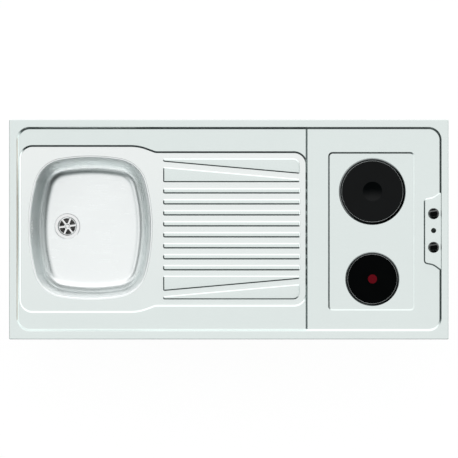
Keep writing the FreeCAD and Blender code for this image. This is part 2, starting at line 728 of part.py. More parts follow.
def side_face(side):
    return IN_RIGHT if side > 0 else IN_LEFT


def strap_screws():
    solids = []
    for index, (side, y, level) in enumerate(strap_screw_spots()):
        at = ("%s - %d * 2" % (side_face(side), side), y, level)
        solids.append(wood_screw("strap_screw_%d" % index, at, "+X" if side > 0 else "-X"))
    return group("strap_screws", *solids)


def tray_screw_spots():
    return [(side, y) for side in (-1, 1) for y in ("tray_front + 90", "tray_back - 75")]


def tray_screws():
    solids = []
    for index, (side, y) in enumerate(tray_screw_spots()):
        x = TRAY_RIGHT + " - steel" if side > 0 else TRAY_LEFT + " + steel"
        way = "+X" if side > 0 else "-X"
        solids.append(wood_screw("tray_screw_%d" % index, (x, y, "tray_top - 8"), way))
    return group("tray_screws", *solids)


def pilot_holes(name, side, straps, tray):
    """Holes that the wood screws have cut in one batten."""
    way = "+X" if side > 0 else "-X"
    face = side_face(side)
    holes = []
    if straps:
        for index, (where, y, level) in enumerate(strap_screw_spots()):
            if where == side:
                at = ("%s - %d" % (face, side), y, level)
                holes.append(rod("%s_strap_pilot_%d" % (name, index), at, "2", "14", way))
    if tray:
        start = "%s - %d" % (face if side > 0 else TRAY_LEFT, side)
        for index, (where, y) in enumerate(tray_screw_spots()):
            if where == side:
                at = (start, y, "tray_top - 8")
                holes.append(rod("%s_tray_pilot_%d" % (name, index), at, "2", "16", way))
    return holes


def timber():
    trim = "edge_round"
    back = block("batten_back", "%s + %s" % (OUT_LEFT, trim), "%s - %s" % (OUT_RIGHT, trim),
                 IN_BACK, OUT_BACK, "0", RIM_UNDER)
    front = block("batten_front", "%s + %s" % (OUT_LEFT, trim), "%s - %s" % (OUT_RIGHT, trim),
                  OUT_FRONT, IN_FRONT, "0", RIM_UNDER)
    left_bar = block("batten_left_bar", OUT_LEFT, IN_LEFT, IN_FRONT, IN_BACK, "0", RIM_UNDER)
    right_bar = block("batten_right_bar", IN_RIGHT, OUT_RIGHT, IN_FRONT, IN_BACK, "0", RIM_UNDER)
    left = cut("batten_left", left_bar, *pilot_holes("left", -1, True, False))
    right = cut("batten_right", right_bar, *pilot_holes("right", 1, True, True))
    bowl_rail = block("rail_bowl", BOWL_RAIL, BOWL_RAIL + " + rail_width", IN_FRONT, IN_BACK,
                      "0", FLOOR_UNDER)
    hob_bar = block("rail_hob_bar", HOB_RAIL, TRAY_LEFT, IN_FRONT, IN_BACK,
                    "0", "rim_height - hob_drop - steel")
    hob_rail = cut("rail_hob", hob_bar, *pilot_holes("hob", -1, False, True))
    board = block("drainer_board", BOWL_RAIL + " + rail_width", HOB_RAIL, IN_FRONT, IN_BACK,
                  FLOOR_UNDER + " - board_thick", FLOOR_UNDER)
    runner = block("middle_runner", "-runner_half", "runner_half", IN_FRONT, IN_BACK,
                   "0", FLOOR_UNDER + " - board_thick")
    return [back, front, left, right, bowl_rail, hob_rail, board, runner]


def fixing_straps():
    """Four flat steel straps on the side battens, each reaching down into the cabinet."""
    straps = []
    for index, (side, end) in enumerate([(-1, -1), (-1, 1), (1, -1), (1, 1)]):
        face = side_face(side)
        low_x = "%s - 2" % face if side > 0 else face
        bar = box("strap_bar_%d" % index, (low_x, "%d * strap_y - strap_width / 2" % end, "-strap_drop"),
                  ("2", "strap_width", "strap_drop + tray_top"))
        way = "+X" if side > 0 else "-X"
        start = "%s - %d * 4" % (face, side)
        holes = [rod("strap_fix_%d" % index, (start, "%d * strap_y" % end, "10 - strap_drop"),
                     "strap_hole", "8", way)]
        for turn, drop in enumerate(("6", "15")):
            at = (start, "%d * strap_y" % end, "tray_top - " + drop)
            holes.append(rod("strap_hole_%d_%d" % (index, turn), at, "2", "8", way))
        straps.append(cut("fixing_strap_%d" % index, bar, *holes))
    return group("fixing_straps", *straps)


# ---- waste and overflow ----

def strainer_plate():
    at = ("waste_x", "waste_y", BOWL_FLOOR)
    profile = [("0", "-6"), ("waste_hole - 1.3", "-6"), ("waste_hole - 1.3", "1"), ("waste_flange", "1"),
               ("waste_flange", "1.6"), ("waste_flange - 1", "2.2"), ("waste_hole - 1.5", "2.2"),
               ("waste_hole - 2.8", "1"), ("waste_hole - 2.8", "-4.5"), ("0", "-4.5")]
    dish = turned("strainer_dish", profile, at)
    low = BOWL_FLOOR + " - 8"
    outer = rod("strainer_sectors", ("waste_x", "waste_y", low), "waste_hole - 5.5", "5")
    hub = rod("strainer_hub", ("waste_x", "waste_y", low), "8.5", "5")
    spokes = []
    for turn in range(3):
        spoke = doc.addObject("Part::Box", "strainer_spoke_%d" % turn)
        bind(spoke, Length="2 * waste_hole", Width="4.6", Height="5")
        angle = 8 + 60 * turn
        spoke.Placement = Placement(Vector(), Rotation(Vector(0, 0, 1), angle))
        turn_text = "waste_hole * %s(%d)"
        wide_text = "2.3 * %s(%d)"
        place(spoke, "waste_x - %s + %s" % (turn_text % ("cos", angle), wide_text % ("sin", angle)),
              "waste_y - %s - %s" % (turn_text % ("sin", angle), wide_text % ("cos", angle)), low)
        spokes.append(spoke)
    sectors = cut("strainer_openings", outer, hub, *spokes)
    return cut("strainer_plate", dish, sectors,
               rod("strainer_screw_hole", ("waste_x", "waste_y", low), "shaft_radius + slack", "8"))


def strainer_screw():
    profile = [("0", "-38"), ("shaft_radius", "-38"), ("shaft_radius", "-4.5"), ("6.5", "-4.5"),
               ("6.5", "-3.6"), ("4.5", "-2.4"), ("0", "-2.4")]
    screw = turned("strainer_screw_blank", profile, ("waste_x", "waste_y", BOWL_FLOOR))
    slot = box("strainer_slot", ("waste_x - 8", "waste_y - 0.6", BOWL_FLOOR + " - 3.4"), ("16", "1.2", "2"))
    return cut("strainer_screw", screw, slot)


def waste_seals():
    upper = turned("strainer_seal", [("waste_hole + 1", "0"), ("waste_flange - 0.5", "0"),
                                     ("waste_flange - 0.5", "1"), ("waste_hole + 1", "1")],
                   ("waste_x", "waste_y", BOWL_FLOOR))
    lower = turned("waste_seal", [("waste_hole + 0.5", "-3"), ("waste_hole + 8", "-3"),
                                  ("waste_hole + 8", "0"), ("waste_hole + 0.5", "0")],
                   ("waste_x", "waste_y", BOWL_UNDER))
    return [upper, lower]


WASTE_TOP = BOWL_UNDER + " - 3"
SPIGOT_LEVEL = WASTE_TOP + " - 24"
HOSE_END = "waste_x - waste_hole - 14"


def waste_body():
    end = "-waste_length"
    thread = "thread_length - waste_length"
    profile = [("waste_hole + 1", "0"), ("waste_hole + 9", "0"), ("waste_hole + 9", "-3"),
               ("waste_hole + 4", "-3"), ("waste_hole + 4", "-36"), ("thread_radius + 2", thread + " + 2"),
               ("thread_radius", thread), ("thread_radius", end), ("thread_radius - 4.4", end),
               ("thread_radius - 4.4", thread), ("waste_hole + 1", "-33")]
    shell = turned("waste_shell", profile, ("waste_x", "waste_y", WASTE_TOP))
    web = box("waste_web", ("waste_x - waste_hole - 2", "waste_y - 2.5", WASTE_TOP + " - 36"),
              ("2 * waste_hole + 4", "5", "16"))
    boss = rod("waste_boss", ("waste_x", "waste_y", WASTE_TOP + " - 37"), "6.5", "18")
    spigot = rod("waste_spigot", ("waste_x - waste_hole - 2", "waste_y", SPIGOT_LEVEL), "hose_bore - slack",
                 "28", "-X")
    collar = rod("waste_spigot_collar", ("waste_x - waste_hole - 2", "waste_y", SPIGOT_LEVEL),
                 "hose_radius + 1", "11", "-X")
    bore = rod("waste_spigot_bore", ("waste_x - 10", "waste_y", SPIGOT_LEVEL), "hose_bore - 2", "60", "-X")
    screw = rod("waste_screw_hole", ("waste_x", "waste_y", WASTE_TOP + " - 40"), "shaft_radius + slack", "30")
    return cut("waste_body", fuse("waste_casting", shell, web, boss, spigot, collar), bore, screw)


OVERFLOW_FACE = "bowl_x - bowl_half_x + bowl_ledge - 3"
HOSE_X = OVERFLOW_FACE + " - 11"
BOX_FOOT = "overflow_level - 18"


def overflow():
    """Seal, hollow elbow box, screw, and the hose down to the waste."""
    bowl = bowl_form("bowl_seal_form", "bowl_steel")
    low, high = "overflow_level - 12", "overflow_level + 12"
    left, right = "overflow_y - 34", "overflow_y + 34"
    slab = block("overflow_seal_slab", OVERFLOW_FACE, OVERFLOW_FACE + " + 9", left, right, low, high)
    window = block("overflow_window", OVERFLOW_FACE + " - 1", OVERFLOW_FACE + " + 12",
                   "overflow_y - 28", "overflow_y + 28", "overflow_level - 6", "overflow_level + 6")
    post = rod("overflow_post", (OVERFLOW_FACE + " - 2", "overflow_y", "overflow_level"),
               "4.5", "14", "+X")
    hole = rod("overflow_post_hole", (OVERFLOW_FACE + " - 4", "overflow_y", "overflow_level"),
               "2.6", "18", "+X")
    seal = cut("overflow_seal", slab, cut("overflow_seal_window", window, post), hole, bowl)
    shell = block("overflow_shell", HOSE_X + " - 9", OVERFLOW_FACE, left, right, BOX_FOOT, high)
    hollow = block("overflow_hollow", HOSE_X + " - 6.5", OVERFLOW_FACE + " + 1", "overflow_y - 28",
                   "overflow_y + 28", BOX_FOOT + " + 2.5", "overflow_level + 6")
    nut_post = rod("overflow_nut_post", (HOSE_X + " - 8", "overflow_y", "overflow_level"),
                   "5", "19", "+X")
    thread = rod("overflow_thread", (OVERFLOW_FACE + " - 12", "overflow_y", "overflow_level"),
                 "2.6", "20", "+X")
    spout = rod("overflow_spout", (HOSE_X, "waste_y", BOX_FOOT + " - 18"), "hose_bore - slack", "19")
    bore = rod("overflow_bore", (HOSE_X, "waste_y", BOX_FOOT + " - 20"), "hose_bore - 2", "25")
    hollow_box = cut("overflow_hollow_box", shell, hollow)
    blank = fuse("overflow_blank", hollow_box, nut_post, spout)
    elbow = cut("overflow_box", blank, bore_clear(bore, nut_post), thread)
    # the screw's head seats on the bowl wall, which leans in below the ledge
    lean = "bowl_lean * (%s - overflow_level) / (bowl_depth - steel)" % LEDGE
    seat = "bowl_x - bowl_half_x + bowl_ledge + %s" % lean
    profile = [("0", "-3"), ("3", "-3"), ("4.6", "-1.6"), ("4.6", "0.4"), ("2.5", "0.4"),
               ("2.5", "14"), ("0", "14")]
    head_and_shank = turned("overflow_screw_blank", profile, (seat, "overflow_y", "overflow_level"), "-X")
    screw = cut("overflow_screw", head_and_shank, screw_wall(seat))
    return [seal, elbow, screw]


def bore_clear(bore, post):
    """The spout's bore, clear of the post that takes the screw."""
    return cut("overflow_bore_clear", bore, rod_copy(post))


def rod_copy(post):
    copy = doc.addObject("Part::Cylinder", post.Name + "_space")
    copy.Placement = post.Placement
    for path, text in post.ExpressionEngine:
        copy.setExpression(path, text)
    return copy


def screw_wall(seat):
    """What the bowl wall takes from the screw's head: the wall as a solid skin."""
    outer = bowl_form("screw_wall_outside", "bowl_steel + 0.02")
    inner = bowl_form("screw_wall_inside", "-0.02")
    skin = cut("screw_wall_skin", outer, inner)
    shank = rod("screw_wall_shank", (seat + " + 5", "overflow_y", "overflow_level"), "2.55", "20", "-X")
    return cut("screw_wall", skin, shank)


def tube_path(route, bends):
    """A wire of straight runs and tangent arcs through the route's corners."""
    edges = []
    start = route[0]
    for index in range(1, len(route) - 1):
        before, here, after = route[index - 1], route[index], route[index + 1]
        back = (before - here).normalize()
        ahead = (after - here).normalize()
        half = back.getAngle(ahead) / 2
        reach = bends * min((before - here).Length, (after - here).Length)
        radius = reach * math.tan(half)
        middle = here + (back + ahead).normalize() * (radius / math.sin(half) - radius)
        first, last = here + back * reach, here + ahead * reach
        edges.append(Part.LineSegment(start, first).toShape())
        edges.append(Part.Arc(first, middle, last).toShape())
        start = last
    edges.append(Part.LineSegment(start, route[-1]).toShape())
    return Part.Wire(edges)


def pipe_along(wire, radius):
    first = wire.Edges[0]
    along = first.tangentAt(first.FirstParameter)
    ring = Part.Wire(Part.makeCircle(radius, wire.Vertexes[0].Point, along))
    return Part.makeSolid(wire.makePipeShell([ring], True, False))


BEND_SHARE = 0.45


def spot(x, y, z):
    return Vector(number(x), number(y), number(z))


def overflow_hose():
    """Hose from the overflow box down and across to the waste, sleeved over both spigots."""
    route = [spot(HOSE_X, "waste_y", BOX_FOOT + " - 1"), spot(HOSE_X, "waste_y", SPIGOT_LEVEL),
             spot(HOSE_END, "waste_y", SPIGOT_LEVEL)]
    wire = tube_path(route, BEND_SHARE)
    hose = doc.addObject("Part::Feature", "overflow_hose")
    hose.Shape = pipe_along(wire, number("hose_radius")).cut(pipe_along(wire, number("hose_bore")))
    return hose


def hose_clips():
    profile = [("hose_radius + slack", "0"), ("hose_radius + 1.2", "0"), ("hose_radius + 1.2", "8"),
               ("hose_radius + slack", "8")]
    upper = turned("clip_upper", profile, (HOSE_X, "waste_y", BOX_FOOT + " - 14"))
    lower = turned("clip_lower", profile, (HOSE_END + " - 3", "waste_y", SPIGOT_LEVEL), "-X")
    return group("hose_clips", upper, lower)


# ---- hotplates ----

def hotplate(name):
    """Cast plate, trim ring, filling, base plate and clamp bar of one hotplate."""
    at = ("plate_x", name + "_y", FIELD)
    face, neck = name + "_radius", name + "_radius - plate_lip"
    ring, dish = name + "_ring", name + "_dish"
    sunk = "plate_rise - 0.8"
    casting = turned(name + "_plate", [
        ("0", sunk), (dish, sunk), (dish + " + 1.2", "plate_rise"), (face + " - 1.2", "plate_rise"),
        (face, "plate_rise - 1.2"), (face, "steel"), (neck, "steel"), (neck, "-plate_sink"),
        (neck + " - 4", "-plate_sink"), (neck + " - 4", "-1"), ("9", "-1"), ("9", "-plate_sink"),
        ("shaft_radius + slack", "-plate_sink"), ("shaft_radius + slack", "2"), ("0", "2")], at)
    trim = turned(name + "_trim_ring", [
        (neck + " + 0.5", "0"), (face + " + 0.9", "0"), (face + " + 0.9", "3.4"), (ring + " - 2.6", "2.2"),
        (ring + " - 0.9", "0"), (ring, "0"), (ring + " - 1.6", "2.9"), (face + " + 1.6", "4.3"),
        (face + " + slack", "4.3"), (face + " + slack", "steel"), (neck + " + 0.5", "steel")], at)
    filling = turned(name + "_filling", [
        ("9 + slack", "-plate_sink"), (neck + " - 4 - slack", "-plate_sink"), (neck + " - 4 - slack", "-1"),
        ("9 + slack", "-1")], at)
    base = turned(name + "_base_plate", [
        ("shaft_radius + 1", "-plate_sink - steel"), (neck, "-plate_sink - steel"), (neck, "-plate_sink"),
        ("shaft_radius + 1", "-plate_sink")], at)
    return [casting, trim, filling, base, clamp_bar(name)]


BAR_LEVEL = "plate_sink + 12"


def clamp_bar(name):
    """A hat-shaped bar across the hole: its feet press on the sheet's underside."""
    body = doc.addObject("PartDesign::Body", name + "_clamp_bar")
    sketch = sketch_on(body, name + "_clamp_profile", "XZ_Plane", "-11")
    leg = name + "_radius - plate_lip + 1"
    half = [(leg + " + 12", "-steel"), (leg, "-steel"), (leg, "2 - (%s)" % BAR_LEVEL)]
    under = [(leg + " + 2", "-(%s)" % BAR_LEVEL), (leg + " + 2", "-steel - 2"), (leg + " + 12", "-steel - 2")]
    right = list(half)
    left = [("-(%s)" % x, z) for x, z in reversed(half)]
    left_under = [("-(%s)" % x, z) for x, z in reversed(under)]
    draw_profile(sketch, right + left + left_under + under)
    pad = body.newObject("PartDesign::Pad", name + "_clamp_pad")
    pad.Profile = sketch
    bind(pad, Length="22")
    body.Tip = pad
    place(body, "plate_x", name + "_y", FIELD)
    hole = rod(name + "_clamp_hole", ("plate_x", name + "_y", FIELD + " - 30"), "shaft_radius + 0.5", "30")
    body.Label = name + "_clamp_blank"
    return cut(name + "_clamp", body, hole)


def plate_studs():
    profile = [("0", "-plate_sink - 20"), ("shaft_radius", "-plate_sink - 20"),
               ("shaft_radius", "1.8"), ("0", "1.8")]
    return group("plate_studs", *[turned(name + "_stud", profile, ("plate_x", name + "_y", FIELD))
                                  for name in ("rear", "front")])


def plate_nuts():
    nuts = []
    for name in ("rear", "front"):
        foot = "%s - (%s) - 5" % (FIELD, BAR_LEVEL)
        hexa = hexagon(name + "_nut_blank", ("plate_x", name + "_y", foot), "5.8", "5")
        bore = rod(name + "_nut_bore", ("plate_x", name + "_y", foot + " - 1"), "shaft_radius + slack", "7")
        nuts.append(cut(name + "_nut", hexa, bore))
    return group("plate_nuts", *nuts)


TERMINAL_SIDE = {"rear": -1, "front": 1}
TERMINAL_REACH = "44"
TERMINAL_FOOT = FIELD + " - plate_sink - steel - 12"


def plate_terminals():
    """The two ceramic terminal blocks on the hotplates' base plates."""
    blocks = []
    for name, side in TERMINAL_SIDE.items():
        y = "%s_y + %d * %s" % (name, side, TERMINAL_REACH)
        low = ("plate_x - 17", y + " - 11", TERMINAL_FOOT)
        blocks.append(box(name + "_terminal", low, ("34", "22", "12")))
    return group("plate_terminals", *blocks)


def red_dot():
    profile = [("0", "plate_rise - 0.8"), ("front_dish - slack", "plate_rise - 0.8"),
               ("front_dish - slack", "plate_rise - 0.35"), ("0", "plate_rise - 0.35")]
    return turned("front_plate_dot", profile, ("plate_x", "front_y", FIELD))


# ---- switches, knobs and lamp ----

FLANGE_FOOT = STRIP_UNDER + " - 2"
HOUSING_FOOT = FLANGE_FOOT + " - 24"
HOUSING_HALF = "18.5"
STUD_REACH = "24.5"


def switch(name):
    """Housing, base with its tabs, and the shaft with its cam drum."""
    x, y = "knob_x", name + "_knob_y"
    lid = box(name + "_flange", (x + " - 15", y + " - 29.5", FLANGE_FOOT), ("30", "59", "2"))
    case = box(name + "_case", ("%s - %s" % (x, HOUSING_HALF), "%s - %s" % (y, HOUSING_HALF), HOUSING_FOOT),
               ("2 * " + HOUSING_HALF, "2 * " + HOUSING_HALF, "24"))
    cavity = rod(name + "_cavity", (x, y, HOUSING_FOOT), "15", "19")
    bearing = rod(name + "_bearing", (x, y, HOUSING_FOOT), "shaft_radius + running_gap", "30")
    holes = [rod("%s_stud_hole_%d" % (name, index), (x, "%s + %d * %s" % (y, end, STUD_REACH),
                                                     FLANGE_FOOT + " - 1"), "2.2", "4")
             for index, end in enumerate((-1, 1))]
    housing = cut(name + "_switch", fuse(name + "_housing_blank", lid, case), cavity, bearing, *holes)
    foot = HOUSING_FOOT + " - 5"
    slab = box(name + "_base_slab", ("%s - %s" % (x, HOUSING_HALF), "%s - %s" % (y, HOUSING_HALF), foot),
               ("2 * " + HOUSING_HALF, "2 * " + HOUSING_HALF, "5"))
    tabs = [box("%s_tab_%d%d" % (name, row, column),
                ("%s + %d" % (x, -12 + 24 * column - 3), "%s + %d" % (y, -12 + 12 * row), foot + " - 8"),
                ("6.3", "0.8", "9")) for row in range(3) for column in range(2)]
    socket = rod(name + "_foot_bearing", (x, y, foot + " + 2"), "2 + running_gap", "4")
    base = cut(name + "_switch_base", fuse(name + "_base_blank", slab, *tabs), socket)
    lift = "-(%s) + (%s)" % (STRIP_TOP, HOUSING_FOOT)
    profile = [("0", lift + " - 2.7"), ("2", lift + " - 2.7"), ("2", lift + " + 0.6"),
               ("13.5", lift + " + 0.6"), ("13.5", lift + " + 18.4"), ("shaft_radius", lift + " + 18.4"),
               ("shaft_radius", "knob_height - 4"), ("0", "knob_height - 4")]
    shaft = turned(name + "_shaft_blank", profile, (x, y, STRIP_TOP))
    notches = []
    for turn in range(7):
        angle = 360 * turn / 7
        at = ("%s + 14.6 * cos(%.4f)" % (x, angle), "%s + 14.6 * sin(%.4f)" % (y, angle), HOUSING_FOOT)
        notches.append(rod("%s_notch_%d" % (name, turn), at, "2.4", "20"))
    return [housing, base, cut(name + "_shaft", shaft, *notches)]


def knob(name):
    """Round skirt with a raised grip bar, bored for the shaft."""
    x, y = "knob_x", name + "_knob_y"
    at = (x, y, STRIP_TOP)
    skirt = turned(name + "_knob_skirt", [
        ("5.5", "1.1"), ("9", "1.1"), ("9", "0.5"), ("knob_radius", "0.5"),
        ("knob_radius", "knob_skirt - 1.5"), ("knob_radius - 1.5", "knob_skirt"),
        ("0", "knob_skirt"), ("0", "1.1")], at)
    column = rod(name + "_grip_column", (x, y, STRIP_TOP + " + knob_skirt - 1"), "knob_radius - 0.8",
                 "knob_height - knob_skirt + 1")
    bar = doc.addObject("PartDesign::Body", name + "_grip_bar")
    sketch = sketch_on(bar, name + "_grip_profile", "YZ_Plane", "-knob_radius")
    draw_profile(sketch, [
        ("-grip_width / 2", "knob_skirt - 1"), ("grip_width / 2", "knob_skirt - 1"),
        ("grip_width / 2 - 1", "knob_height - 2.5"), ("grip_width / 2 - 3.5", "knob_height"),
        ("3.5 - grip_width / 2", "knob_height"), ("1 - grip_width / 2", "knob_height - 2.5")])
    pad = bar.newObject("PartDesign::Pad", name + "_grip_pad")
    pad.Profile = sketch
    bind(pad, Length="2 * knob_radius")
    bar.Tip = pad
    bar.Placement = Placement(Vector(), Rotation(Vector(0, 0, 1), number("grip_turn")))
    bind(bar, **{"Placement.Rotation.Angle": "grip_turn"})
    place(bar, *at)
    grip = common(name + "_grip", bar, column)
    bore = rod(name + "_knob_bore", (x, y, STRIP_TOP), "shaft_radius", "knob_height - 3.8")
    return cut(name + "_knob", fuse(name + "_knob_blank", skirt, grip), bore)


def shaft_seals():
    profile = [("shaft_radius + 0.4", "-steel"), ("shaft_radius + 1.9", "-steel"),
               ("shaft_radius + 1.9", "0"), ("8", "0"), ("8", "0.8"), ("shaft_radius + 0.4", "0.8")]
    return group("shaft_seals", *[turned(name + "_seal", profile, ("knob_x", name + "_knob_y", STRIP_TOP))
                                  for name in ("rear", "front")])


def switch_fasteners():
    studs, nuts = [], []
    for name in ("rear", "front"):
        for index, end in enumerate((-1, 1)):
            y = "%s_knob_y + %d * %s" % (name, end, STUD_REACH)
            tag = "%s_%d" % (name, index)
            studs.append(rod("strip_stud_" + tag, ("knob_x", y, STRIP_UNDER + " - 8"), "2", "8"))
            hexa = hexagon("strip_nut_blank_" + tag, ("knob_x", y, FLANGE_FOOT + " - 3"), "3.9", "3")
            bore = rod("strip_nut_bore_" + tag, ("knob_x", y, FLANGE_FOOT + " - 4"), "2 + slack", "5")
            nuts.append(cut("strip_nut_" + tag, hexa, bore))
    return [group("switch_studs", *studs), group("switch_nuts", *nuts)]


def lamp():
    at = ("knob_x", "lamp_y", STRIP_TOP)
    lens = turned("lamp_lens", [
        ("0", "0.6"), ("lamp_radius", "0.6"), ("lamp_radius", "1.6"), ("lamp_radius - 1.2", "2.9"),
        ("lamp_radius - 3.4", "3.7"), ("0", "4")], at)
    stem = turned("lamp_body", [
        ("0", "-20"), ("lamp_radius - 2.2", "-20"), ("lamp_radius - 1.7", "-18"), ("lamp_radius - 1.7", "0"),
        ("lamp_radius + 0.3", "0"), ("lamp_radius + 0.3", "0.6"), ("0", "0.6")], at)
    clip = turned("lamp_clip", [
        ("lamp_radius - 1.6", "-steel - 2"), ("lamp_radius + 2", "-steel - 2"), ("lamp_radius + 2", "-steel"),
        ("lamp_radius - 1.6", "-steel")], at)
    return [lens, stem, clip]


# ---- tray, supply and wiring ----

TRAY_FLOOR = "steel - tray_depth"


def hob_tray():
    outer = block("tray_outside", TRAY_LEFT, TRAY_RIGHT, "tray_front", "tray_back", "-tray_depth", "tray_top")
    inner = block("tray_inside", TRAY_LEFT + " + steel", TRAY_RIGHT + " - steel", "tray_front + steel",
                  "tray_back - steel", TRAY_FLOOR, "tray_top + 1")
    holes = [rod("tray_gland_hole", ("gland_x", "tray_back - 5", "gland_level"),
                 "gland_bore + 5 + slack", "10", "+Y")]
    for index, (side, y) in enumerate(tray_screw_spots()):
        start = TRAY_RIGHT + " - 5" if side > 0 else TRAY_LEFT + " + 5"
        holes.append(rod("tray_screw_hole_%d" % index, (start, y, "tray_top - 8"), "2", "8",
                         "+X" if side > 0 else "-X"))
    return cut("hob_tray", outer, inner, *holes)


def cable_gland():
    at = ("gland_x", "tray_back", "gland_level")
    bore, neck = "gland_bore", "gland_bore + 5"
    body = turned("gland_body", [
        (bore, "-12"), (neck, "-12"), (neck, "0"), (neck + " + 3", "0"), (neck + " + 3", "6"),
        (neck + " + 2", "6"), (neck + " + 2", "18"), (neck + " - 1", "22"), (bore, "22")], at, "+Y")
    hexa = hexagon("gland_nut_blank", ("gland_x", "tray_back - steel - 5", "gland_level"),
                   "gland_bore + 9.5", "5", "+Y")
    hole = rod("gland_nut_hole", ("gland_x", "tray_back - steel - 6", "gland_level"),
               neck + " + slack", "7", "+Y")
    return [body, cut("gland_nut", hexa, hole)]


BLOCK_Y = "tray_back - 72"


def supply_block():
    """Five-way terminal block on the tray floor, with its row of screws."""
    base = box("supply_base", ("gland_x - 32", BLOCK_Y, TRAY_FLOOR), ("64", "22", "14"))
    top = box("supply_ridge", ("gland_x - 32", BLOCK_Y + " + 6", TRAY_FLOOR + " + 14"), ("64", "10", "6"))
    holes = [rod("supply_hole_%d" % way, ("gland_x + %d" % (-24 + 12 * way), BLOCK_Y + " + 11",
                                          TRAY_FLOOR + " + 8"), "3", "14") for way in range(5)]
    return cut("supply_block", fuse("supply_blank", base, top), *holes)


def earth_stud():
    at = ("gland_x + 60", BLOCK_Y + " + 10", TRAY_FLOOR)
    return turned("earth_stud", [("0", "0"), ("5", "0"), ("5", "1"), ("4.4", "1"), ("4.4", "5"), ("2.5", "5"),
                                 ("2.5", "14"), ("0", "14")], at)


LOOM_RADIUS = 3


def loom(name, route):
    wire = tube_path(route, BEND_SHARE)
    tube = doc.addObject("Part::Feature", name)
    tube.Shape = pipe_along(wire, LOOM_RADIUS)
    print(name, "tube volume", round(tube.Shape.Volume), "section x length",
          round(math.pi * LOOM_RADIUS ** 2 * wire.Length))
    return tube


def plate_looms():
    """One loom from each switch along the tray floor and up to its hotplate's terminals."""
    lying = TRAY_FLOOR + " + %s" % (LOOM_RADIUS + 0.3)
    looms = []
    for name, side in TERMINAL_SIDE.items():
        y, end = name + "_knob_y", "%s_y + %d * %s" % (name, side, TERMINAL_REACH)
        foot = HOUSING_FOOT + " - 5"
        route = [spot("knob_x", y, foot), spot("knob_x", y, foot + " - 16"),
                 spot("knob_x - 26", "%s - %d * 2" % (y, side), lying + " + 2"),
                 spot("knob_x - 62", "%s - %d * 9" % (y, side), lying),
                 spot("plate_x + 62", "%s - %d * 6" % (end, side), lying + " + 1"),
                 spot("plate_x + 24", end, lying + " + 3"),
                 spot("plate_x", end, TERMINAL_FOOT + " - 20"), spot("plate_x", end, TERMINAL_FOOT)]
        looms.append(loom(name + "_loom", route))
    return group("plate_looms", *looms)


def supply_loom():
    """From the supply block to the rear switch's base, beside its own loom."""
    lying = TRAY_FLOOR + " + %s" % (LOOM_RADIUS + 0.3)
    y = BLOCK_Y + " + 11"
    foot = HOUSING_FOOT + " - 5"
    route = [spot("gland_x + 32", y, TRAY_FLOOR + " + 7"), spot("gland_x + 44", y, TRAY_FLOOR + " + 7"),
             spot("gland_x + 72", y + " - 22", lying + " + 1"), spot("gland_x + 120", y + " - 40", lying),
             spot("knob_x - 60", "rear_knob_y + 36", lying + " + 1"),
             spot("knob_x - 14", "rear_knob_y + 15", lying + " + 2"),
             spot("knob_x - 6", "rear_knob_y + 12", foot + " - 12"),
             spot("knob_x - 6", "rear_knob_y + 12", foot)]
    return loom("supply_loom", route)


# ---- build, check and write ----

def build():
    nodes = [worktop_sheet(), sink_bowl(), bowl_pad()]
    nodes += timber()
    nodes += [fixing_straps(), strap_screws(), strainer_plate(), strainer_screw()]
    nodes += waste_seals()
    nodes.append(waste_body())
    nodes += overflow()
    nodes += [overflow_hose(), hose_clips()]
    for name in ("rear", "front"):
        nodes += hotplate(name)
    nodes += [plate_studs(), plate_nuts(), plate_terminals(), red_dot()]
    for name in ("rear", "front"):
        nodes += switch(name)
        nodes.append(knob(name))
    nodes.append(shaft_seals())
    nodes += switch_fasteners()
    nodes += lamp()
    nodes += [hob_tray(), tray_screws()]
    nodes += cable_gland()
    nodes += [supply_block(), earth_stud(), plate_looms(), supply_loom()]
    return nodes


def check_and_write(nodes):
    doc.recompute()
    for item in doc.Objects:
        faults = [state for state in item.State if state in ("Invalid", "Error")]
        if faults:
            raise RuntimeError("%s is %s" % (item.Name, faults))
    for node in nodes:
        if node.Shape.isNull() or not node.Shape.isValid() or not node.Shape.Solids:
            raise RuntimeError("%s has no valid solid" % node.Label)
    for node in nodes:
        node.Shape.exportStep("parts/%s.step" % node.Label)
    print(len(nodes), "nodes written")


check_and_write(build())
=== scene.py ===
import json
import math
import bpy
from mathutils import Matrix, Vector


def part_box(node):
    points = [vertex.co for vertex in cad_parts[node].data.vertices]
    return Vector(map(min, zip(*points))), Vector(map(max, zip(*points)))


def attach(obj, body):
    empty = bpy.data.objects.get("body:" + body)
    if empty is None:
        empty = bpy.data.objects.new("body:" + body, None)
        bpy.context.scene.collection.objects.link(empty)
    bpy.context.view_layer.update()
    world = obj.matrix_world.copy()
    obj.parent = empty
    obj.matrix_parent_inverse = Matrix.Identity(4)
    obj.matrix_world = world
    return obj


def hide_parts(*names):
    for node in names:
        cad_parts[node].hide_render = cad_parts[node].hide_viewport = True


bl_info = {
    "name": "Kitchenette top with sink and hob",
    "version": (1, 0, 0),
    "blender": (4, 5, 0),
    "location": "3D View > Sidebar > Kitchenette",
    "description": "Dresses the pressed steel top, its bowl, hotplates, controls and timber",
    "category": "Object",
}

from contextlib import contextmanager
from functools import partial

import bmesh
import bpy
import numpy as np
from bpy.props import FloatProperty, FloatVectorProperty, IntProperty, PointerProperty
from mathutils import Matrix, Vector
from mathutils.geometry import delaunay_2d_cdt

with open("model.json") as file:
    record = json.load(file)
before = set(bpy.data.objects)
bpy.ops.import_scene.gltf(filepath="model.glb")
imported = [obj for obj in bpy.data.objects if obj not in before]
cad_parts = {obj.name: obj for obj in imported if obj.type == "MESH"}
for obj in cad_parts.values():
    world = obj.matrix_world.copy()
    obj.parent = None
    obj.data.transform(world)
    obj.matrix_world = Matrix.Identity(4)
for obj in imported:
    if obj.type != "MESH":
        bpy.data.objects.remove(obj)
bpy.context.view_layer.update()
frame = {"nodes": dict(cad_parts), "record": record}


# ---- sizes and colours that a user would change ----

